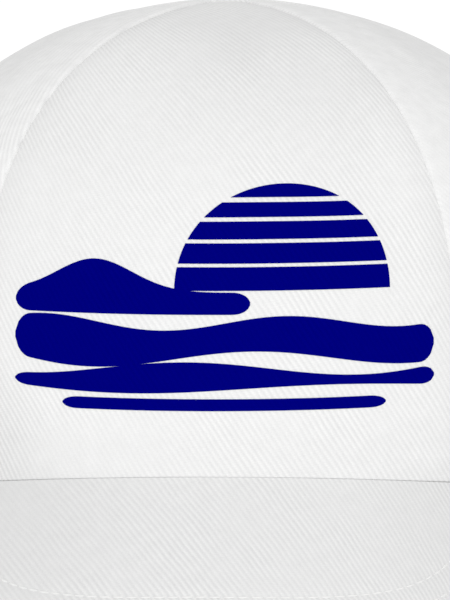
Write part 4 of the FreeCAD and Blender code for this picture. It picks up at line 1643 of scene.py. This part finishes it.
@dataclass(frozen=True)
class Eyelets(CapWork):
    """Vent holes edged with close stitching."""

    bore: float = 2.2
    flange: float = 4.8
    top: float = 0.72
    top_foot: float = -0.1
    bottom: float = -2.75
    bottom_foot: float = -1.5
    stitches: int = 34
    stitch_points: int = 6
    ridge: float = 0.1
    outer_ridge_share: float = 0.6
    inner_ridge_share: float = -0.15
    half_profile: int = 7
    hole_radius: float = 3.1
    hole_depth: float = 16.0
    hole_points: int = 32
    smooth_angle: float = 80.0

    def spot(self, angle: float) -> tuple[np.ndarray, np.ndarray]:
        """Point on the wall and outward direction of one eyelet."""
        along = self.crown.along_at_height(np.array(self.crown.vent_height))
        point = self.crown.at(np.array(angle), along)
        return point, self.crown.normal(point)

    def profile(self) -> list[tuple[float, float]]:
        """Radii and heights round the thread's section, over the wall and back under it."""
        middle = (self.bore + self.flange) / 2
        half = (self.flange - self.bore) / 2
        bends = np.linspace(0, math.pi, self.half_profile)
        over = self.top_foot + (self.top - self.top_foot) * np.sin(bends)
        under = self.bottom_foot + (self.bottom - self.bottom_foot) * np.sin(bends)
        above = list(zip(middle - half * np.cos(bends), over))
        below = list(zip(middle + half * np.cos(bends), under))
        return above + below[1:-1]

    def ring(self, name: str, angle: float) -> bpy.types.Object:
        """One eyelet's thread, drawn radially round the hole."""
        point, normal = self.spot(angle)
        side = unit_rows(np.cross(normal, [0.0, 0.0, 1.0]))
        rise = np.cross(side, normal)
        count = self.stitches * self.stitch_points
        turn = np.arange(count) * math.tau / count
        swell = self.ridge * np.abs(np.sin(turn * self.stitches / 2))
        middle = (self.bore + self.flange) / 2
        mesh = bmesh.new()
        rings = []
        for radius, level in self.profile():
            share = self.outer_ridge_share if radius > middle else self.inner_ridge_share
            reach = radius + swell * share
            height = level + np.sign(level) * swell
            spots = np.outer(np.cos(turn) * reach, side) + np.outer(np.sin(turn) * reach, rise)
            rings.append(self.maker.verts(mesh, point + spots + np.outer(height, normal)))
        add_tube(mesh, rings + rings[:1], capped=False)
        return self.maker.finish_piece(
            name + "_thread", mesh, self.finishes.thread, Slot.THREAD, [name], self.smooth_angle
        )

    def pierce(self, panel: bpy.types.Object, angle: float) -> None:
        """Cuts the eyelet's hole through a panel."""
        point, normal = self.spot(angle)
        radius = self.hole_radius * MM
        cutter = bmesh.new()
        bmesh.ops.create_cone(
            cutter, cap_ends=True, segments=self.hole_points, radius1=radius, radius2=radius,
            depth=self.hole_depth * MM,
        )
        aim = Vector(self.maker.frame.aim(normal)).to_track_quat("Z", "Y").to_matrix().to_4x4()
        aim.translation = Vector(self.maker.frame.place(point))
        cutter.transform(aim)
        cut_away(panel, cutter)

    def make(self, panels: dict[str, bpy.types.Object]) -> None:
        """Builds all the eyelets and their holes."""
        for kind, angle in zip(("side", "rear"), self.crown.vents):
            for hand in Hand:
                turned = hand.value * angle
                self.pierce(panels["%s_panel_%s" % (kind, hand.word)], turned)
                self.ring("eyelet_%s_%s" % (kind, hand.word), turned)


@dataclass(frozen=True)
class RearClosure(CapWork):
    """The strap behind, and its tab round the clasp's bar."""

    width: float = 20.0
    thickness: float = 1.2
    lift: float = 5.0
    end_angle: float = 151.0
    play: float = 0.3
    layer_gap: float = 0.2
    tab_width: float = 18.0
    tab_ply: float = 0.6
    tab_play: float = 0.15
    tab_turn: float = 0.5
    clasp_angle: float = 8.0
    clasp_depth: float = 5.4
    clasp_start: float = 11.0
    bar_radius: float = 0.8
    bar_offset: float = 13.6
    end_points: int = 5
    middle_points: int = 6
    strap_points: int = 160
    tab_points: int = 60
    edge_steps: tuple[float, ...] = (0, 0.25, 0.7, 1.6, 2.2, 2.8)
    edge_swell: tuple[float, ...] = (-0.4, -0.12, 0, 0.02, -0.12, 0.02)
    middle_swell: float = 0.08
    stitch_in: float = 2.2
    loop_points: int = 32
    loop_lip: float = 0.2
    loop_trim: float = 0.12

    def clasp_frame(self) -> tuple[np.ndarray, np.ndarray, np.ndarray]:
        """Origin, direction along the strap and outward direction of the clasp, in plan."""
        point = self.plan(BACK_ANGLE - self.clasp_angle, 0.0)
        out = unit_rows(point / [self.crown.half_width**2, self.crown.half_length**2])
        return point - out * self.clasp_depth, np.array([out[1], -out[0]]), out

    def in_clasp(self, along: float, outward: float) -> np.ndarray:
        """Plan point from a place in the clasp's frame."""
        origin, way, out = self.clasp_frame()
        return origin + way * along + out * outward

    def plan(self, angle: float, inset: float) -> np.ndarray:
        """Plan point at an angle from the front, inside the crown's oval."""
        return about_axis(self.crown.oval(np.array(angle), inset), np.radians(angle))

    def arch_edge(self) -> float:
        """Plan angle from straight behind to the rear opening's side."""
        return math.degrees(math.asin(REAR_ARCH.radius / self.crown.half_length))

    def bar_layers(self) -> tuple[float, float, float]:
        """Radii of the tab's inner and outer face round the bar, and the bar's height."""
        inner = self.bar_radius + self.tab_play
        outer = inner + self.tab_ply
        return inner, outer, self.thickness + self.play + outer

    def strap_path(self) -> np.ndarray:
        """The strap's middle line in plan, from its sewn end to its tail."""
        outer = self.crown.wall + self.layer_gap + self.thickness / 2
        tail = outer + 2 * (self.tab_ply + self.layer_gap)
        edge = self.arch_edge()
        step = edge / self.middle_points
        sewn = np.linspace(-self.end_angle, edge - BACK_ANGLE, self.end_points)
        path = [self.plan(angle, outer) for angle in sewn]
        middle = self.in_clasp(-self.clasp_start - self.play, self.thickness / 2)
        reach = math.degrees(math.atan2(middle[0], middle[1]))
        depth = float(self.crown.oval(np.array(BACK_ANGLE - reach))) - np.linalg.norm(middle)
        for angle in np.linspace(-edge + 2 * step, reach - 2 * step, self.middle_points):
            share = eased((angle + edge) / (reach + edge))
            path.append(self.plan(BACK_ANGLE - angle, outer + (depth - outer) * share))
        for along in np.linspace(-self.clasp_start, self.bar_offset, self.end_points):
            path.append(self.in_clasp(along, self.thickness / 2))
        for angle in np.linspace(edge + step / 2, BACK_ANGLE - self.end_angle, self.end_points):
            path.append(self.plan(BACK_ANGLE - angle, tail))
        return smooth_line(np.array(path), self.strap_points)

    def tab_path(self) -> np.ndarray:
        """The tab's middle line in plan, from the clasp's bar to its sewn end."""
        inner, outer, rise = self.bar_layers()
        layer = self.crown.wall + 1.5 * self.layer_gap + self.tab_ply
        path = [
            self.in_clasp(self.bar_offset + inner + self.tab_ply / 2, rise),
            self.in_clasp(self.bar_offset + 2 * outer, rise - self.tab_ply / 2),
        ]
        start = self.arch_edge() - self.tab_turn
        for angle in np.linspace(start, BACK_ANGLE - self.end_angle, self.end_points):
            path.append(self.plan(BACK_ANGLE - angle, layer))
        return smooth_line(np.array(path), self.tab_points)

    def ribbon(
        self, name: str, node: str, path: np.ndarray, thickness: float, width: float
    ) -> bpy.types.Object:
        """A stitched band of cloth that stands on a plan path.

        Args:
            name: The piece's name.
            node: The node that it stands for.
            path: Plan points of its middle line.
            thickness: The band's thickness.
            width: The band's height as it stands.

        Returns:
            The band.
        """
        low = self.lift + (self.width - width) / 2
        way = unit_rows(np.gradient(path, axis=0))
        side = np.stack([way[:, 1], -way[:, 0]], axis=1)
        side = side * np.sign(np.sum(side * path, axis=1))[:, None]
        steps = np.array(self.edge_steps)
        rows = np.concatenate([steps, [width / 2], width - steps[::-1]])
        swell = np.array([*self.edge_swell, self.middle_swell, *self.edge_swell[::-1]])
        faces, lines = [], []
        for sign in (1, -1):
            grid = np.zeros((len(rows), len(path), 3))
            grid[..., :2] = path + side * sign * (thickness / 2 + swell[:, None, None])
            grid[..., 2] = low + rows[:, None]
            faces.append(grid)
        for row in (self.stitch_in, width - self.stitch_in):
            for sign in (1, -1):
                spots = path + side * sign * (thickness / 2 - THREAD_SEAT)
                normal = np.insert(side * sign, 2, 0.0, axis=1)
                lines.append((np.insert(spots, 2, low + row, axis=1), normal))
        flat = np.stack(np.meshgrid(run_along(path), rows), axis=-1)
        mesh = self.maker.shell(*faces, flat)
        piece = self.maker.finish_piece(name, mesh, self.finishes.twill, Slot.TWILL, [node])
        self.maker.stitches(name + "_stitching", lines, self.finishes.thread, STRAP_STITCH)
        return piece

    def loop(self) -> bpy.types.Object:
        """The end of the tab where it goes round the clasp's bar."""
        inner, outer, rise = self.bar_layers()
        _, way, out = self.clasp_frame()
        centre = self.in_clasp(self.bar_offset, rise)
        turns = np.arange(self.loop_points) * math.tau / self.loop_points
        spokes = np.outer(np.cos(turns), way) + np.outer(np.sin(turns), out)
        low = self.lift + (self.width - self.tab_width) / 2
        heights = np.array([0, self.loop_lip, self.tab_width - self.loop_lip, self.tab_width])
        trims = np.array([self.loop_trim, 0.0, 0.0, self.loop_trim])
        grids = []
        for radii in (outer - trims, inner + trims):
            grid = np.zeros((len(heights), len(turns), 3))
            grid[..., :2] = centre + spokes * radii[:, None, None]
            grid[..., 2] = low + heights[:, None]
            grids.append(grid)
        flat = np.stack(np.meshgrid(turns * outer, heights), axis=-1)
        mesh = self.maker.shell(*grids, flat, closed=True)
        return self.maker.finish_piece("tab_loop", mesh, self.finishes.twill, Slot.TWILL)

    def make(self) -> None:
        """Builds the strap, the tab and the tab's loop."""
        self.ribbon("strap_cloth", "closure_strap", self.strap_path(), self.thickness, self.width)
        self.ribbon("tab_cloth", "closure_tab", self.tab_path(), 2 * self.tab_ply, self.tab_width)
        self.loop()


# Printed emblem


@dataclass(frozen=True)
class Curve:
    """A height across the print: a level that waves, or swells once."""

    level: float
    swing: float = 0.0
    wave: float = 1.0
    shift: float = 0.0
    swell: float = 0.0
    swell_at: float = 0.0
    swell_width: float = 1.0

    def at(self, across: np.ndarray) -> np.ndarray:
        """Heights at places across."""
        hill = self.swell * np.exp(-(((across - self.swell_at) / self.swell_width) ** 2))
        return self.level + self.swing * np.sin(across / self.wave + self.shift) + hill


@dataclass(frozen=True)
class Band:
    """A band between two curves that narrows to rounded ends."""

    top: Curve
    bottom: Curve
    start: float
    end: float
    end_length: float = 4.0
    thinnest: float = 0.02
    points: int = 120

    def outline(self) -> np.ndarray:
        """The band's closed outline."""
        across = np.linspace(self.start, self.end, self.points)
        upper, lower = self.top.at(across), self.bottom.at(across)
        middle = (upper + lower) / 2
        reach = np.minimum(across - across[0], across[-1] - across)
        near = 1 - np.clip(reach / self.end_length, 0, 1)
        close = np.sqrt(np.clip(1 - near**2, self.thinnest, 1))
        up = np.stack([across, middle + (upper - middle) * close], axis=1)
        down = np.stack([across, middle + (lower - middle) * close], axis=1)
        return np.vstack([up, down[::-1]])


@dataclass(frozen=True)
class Disc:
    """A disc that shows as stripes."""

    across: float
    up: float
    radius: float
    points: int = 48

    def stripe(self, low: float, high: float) -> np.ndarray:
        """The disc's part between two heights.

        Args:
            low: Lower height, above the centre.
            high: Upper height, above the centre.

        Returns:
            The outline.
        """
        turn = np.linspace(
            math.asin(low / self.radius), math.asin(min(high, self.radius) / self.radius), self.points
        )
        half = self.radius * np.cos(turn)
        level = self.up + self.radius * np.sin(turn)
        right = np.stack([self.across + half, level], axis=1)
        left = np.stack([self.across - half, level], axis=1)
        return np.vstack([right, left[::-1]])


@dataclass(frozen=True)
class Emblem(CapWork):
    """A one-colour print on the front panel: a striped half sun, a hill, wavy bands and a bar."""

    panels: CrownPanels
    centre: tuple[float, float] = (2.5, 51.5)
    half_width: float = 50.9
    hill_end: float = 6.0
    bar_half_width: float = 38.0
    sun: Disc = Disc(14.0, 2.0, 25.2)
    stripes: tuple[tuple[float, float], ...] = (
        (21.8, 25.2), (17.0, 20.6), (11.8, 16.0), (6.2, 10.9), (0.0, 5.4)
    )
    cell: float = 2.4
    merge_gap: float = 0.001
    lift: float = 0.09
    widest_turn: float = 80.0
    wrap_rounds: int = 4

    def shapes(self) -> list[np.ndarray]:
        """Closed outlines of the print, in millimetres from its centre."""
        half, bar = self.half_width, self.bar_half_width
        hill = Curve(1.6, swell=7.5, swell_at=-30.0, swell_width=13.0)
        upper = Curve(-5.4, swing=1.6, wave=9.0), Curve(-13.6, swing=1.9, wave=12.0, shift=1.0)
        lower = Curve(-15.8, swing=1.7, wave=13.0, shift=2.2), Curve(-20.4, swing=0.9, wave=15.0)
        bands = (
            Band(hill, Curve(-3.4), -half, self.hill_end),
            Band(*upper, -half, half),
            Band(*lower, -half, half),
            Band(Curve(-22.4), Curve(-25.1), -bar, bar),
        )
        return [self.sun.stripe(*span) for span in self.stripes] + [b.outline() for b in bands]

    def surface(self, spots: np.ndarray) -> np.ndarray:
        """Points on the front panel at places on the print."""
        across, along = (spots + self.centre).T
        angle = np.degrees(across / self.crown.radius_at(np.zeros_like(along), along))
        angle = np.clip(angle, -self.widest_turn, self.widest_turn)
        for _ in range(self.wrap_rounds):
            angle = np.degrees(across / self.crown.radius_at(angle / 2, along))
        relief = self.panels.soft_folds(angle, along)
        return self.crown.at(angle, along, lift=relief + self.lift)

    def make(self) -> bpy.types.Object:
        """Builds the print as a thin skin that follows the cloth."""
        mesh = bmesh.new()
        for outline in self.shapes():
            mesh.faces.new([mesh.verts.new((x, y, 0)) for x, y in outline])
        bmesh.ops.triangulate(mesh, faces=mesh.faces[:])
        reach = self.half_width + self.cell
        for axis in (Vector((1, 0, 0)), Vector((0, 1, 0))):
            for value in np.arange(-reach, reach, self.cell):
                bmesh.ops.bisect_plane(
                    mesh, geom=mesh.verts[:] + mesh.edges[:] + mesh.faces[:],
                    plane_co=axis * float(value), plane_no=axis,
                )
        bmesh.ops.remove_doubles(mesh, verts=mesh.verts[:], dist=self.merge_gap)
        layer = mesh.loops.layers.uv.new("flat")
        for face in mesh.faces:
            for loop in face.loops:
                loop[layer].uv = loop.vert.co.xy + Vector(self.centre)
        spots = np.array([v.co.xy for v in mesh.verts])
        placed = self.maker.frame.place(self.surface(spots))
        for vert, point in zip(mesh.verts, placed):
            vert.co = point
        return self.maker.finish_piece("front_print", mesh, self.finishes.ink, Slot.TWILL)


# Studio


@dataclass(frozen=True)
class Lamp:
    """A large soft light: its place and width in millimetres, and its power in watts."""

    name: str
    place: tuple[float, float, float]
    size: float
    power: float


LAMPS = (
    Lamp("key", (-100.0, -1300.0, 160.0), 1200.0, 4.2),
    Lamp("fill_right", (1250.0, -600.0, 40.0), 900.0, 1.5),
    Lamp("fill_left", (-1250.0, -600.0, 40.0), 900.0, 0.8),
)


@dataclass(frozen=True)
class Studio:
    """Camera, lights and background, set from the photograph."""

    frame: HeadFrame
    distance: float = 1000.0
    target_height: float = 60.0
    pitch: float = 4.16
    yaw: float = 2.42
    roll: float = -0.24
    focal: float = 4019.0
    centre: tuple[float, float] = (230.0, 231.0)
    photo: tuple[float, float] = (450.0, 600.0)
    sensor: float = 36.0
    clip_start: float = 0.01
    seen_strength: float = 1.05
    light_strength: float = 0.812

    def make(self) -> None:
        """Builds all of it."""
        self.camera()
        self.world()
        for lamp in LAMPS:
            self.light(lamp)

    def camera(self) -> bpy.types.Object:
        """The camera, turned so that the frame's middle is the photograph's."""
        pitch, yaw, roll = (math.radians(a) for a in (self.pitch, self.yaw, self.roll))
        level = np.array([math.sin(yaw), -math.cos(yaw), 0.0])
        back = level * math.cos(pitch) + np.array([0.0, 0.0, math.sin(pitch)])
        side = np.array([math.cos(yaw), math.sin(yaw), 0.0])
        up = np.cross(back, side)
        right = side * math.cos(roll) + up * math.sin(roll)
        upward = up * math.cos(roll) - side * math.sin(roll)
        across = (self.photo[0] / 2 - self.centre[0]) / self.focal
        down = (self.photo[1] / 2 - self.centre[1]) / self.focal
        look = unit_rows(-back + right * across - upward * down)
        right = unit_rows(np.cross(look, upward))
        upward = np.cross(right, look)
        data = bpy.data.cameras.new("camera")
        data.sensor_fit = "VERTICAL"
        data.sensor_height = self.sensor
        data.lens = self.focal / self.photo[1] * self.sensor
        data.dof.use_dof = False
        data.clip_start = self.clip_start
        made = bpy.data.objects.new("camera", data)
        bpy.context.scene.collection.objects.link(made)
        place = self.frame.place(back * self.distance + [0, 0, self.target_height])
        turned = np.stack([self.frame.aim(v) for v in (right, upward, -look)], axis=1)
        made.matrix_world = Matrix.LocRotScale(Vector(place), Matrix(turned), None)
        bpy.context.scene.camera = made
        return made

    def world(self) -> None:
        """White behind the cap, and a softer white that lights it."""
        world = bpy.data.worlds.new("studio")
        bpy.context.scene.world = world
        world.use_nodes = True
        s = Shader(world.node_tree)
        mix = s.node("ShaderNodeMixShader")
        s.join(s.node("ShaderNodeLightPath").outputs["Is Camera Ray"], mix.inputs[0])
        for socket, strength in zip(mix.inputs[1:], (self.light_strength, self.seen_strength)):
            white = s.node("ShaderNodeBackground")
            s.feed(white, Color=(1, 1, 1, 1), Strength=strength)
            s.join(white.outputs[0], socket)
        s.feed(s.node("ShaderNodeOutputWorld"), Surface=mix.outputs[0])

    def light(self, lamp: Lamp) -> bpy.types.Object:
        """A large soft light that points at the crown.

        Args:
            lamp: Its name, place, width and power.

        Returns:
            The light.
        """
        data = bpy.data.lights.new(lamp.name, "AREA")
        data.shape = "DISK"
        data.size = lamp.size * MM
        data.energy = lamp.power
        made = bpy.data.objects.new(lamp.name, data)
        bpy.context.scene.collection.objects.link(made)
        spot = Vector(self.frame.place(np.array(lamp.place)))
        aim = Vector(self.frame.place(np.array([0.0, 0.0, self.target_height])))
        made.location = spot
        made.rotation_euler = (aim - spot).to_track_quat("-Z", "Y").to_euler()
        return made


def main() -> None:
    """Builds the whole cap and its studio."""
    logging.basicConfig(level=logging.INFO, format="%(message)s")
    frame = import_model()
    bpy.context.scene.view_settings.view_transform = "Standard"
    head = HeadFrame.from_record(frame["record"])
    finishes = Finishes()
    maker = Maker(head)
    crown = Crown()
    Studio(head).make()
    cloth = CrownPanels(crown, maker, finishes)
    panels = cloth.make()
    Visor(VisorShape(crown), maker, finishes).make()
    Linings(crown, maker, finishes).make()
    TopButton(crown, maker, finishes).make()
    Eyelets(crown, maker, finishes).make(panels)
    ArchOpening(cloth).make(panels)
    RearClosure(crown, maker, finishes).make()
    Emblem(crown, maker, finishes, cloth).make()
    frame["nodes"]["visor_board"].data.materials[0] = finishes.board
    for node in ("button_rivet", "clasp_frame", "clasp_pin", "clasp_lever"):
        frame["nodes"][node].data.materials[0] = finishes.metal


if __name__ == "__main__":
    main()
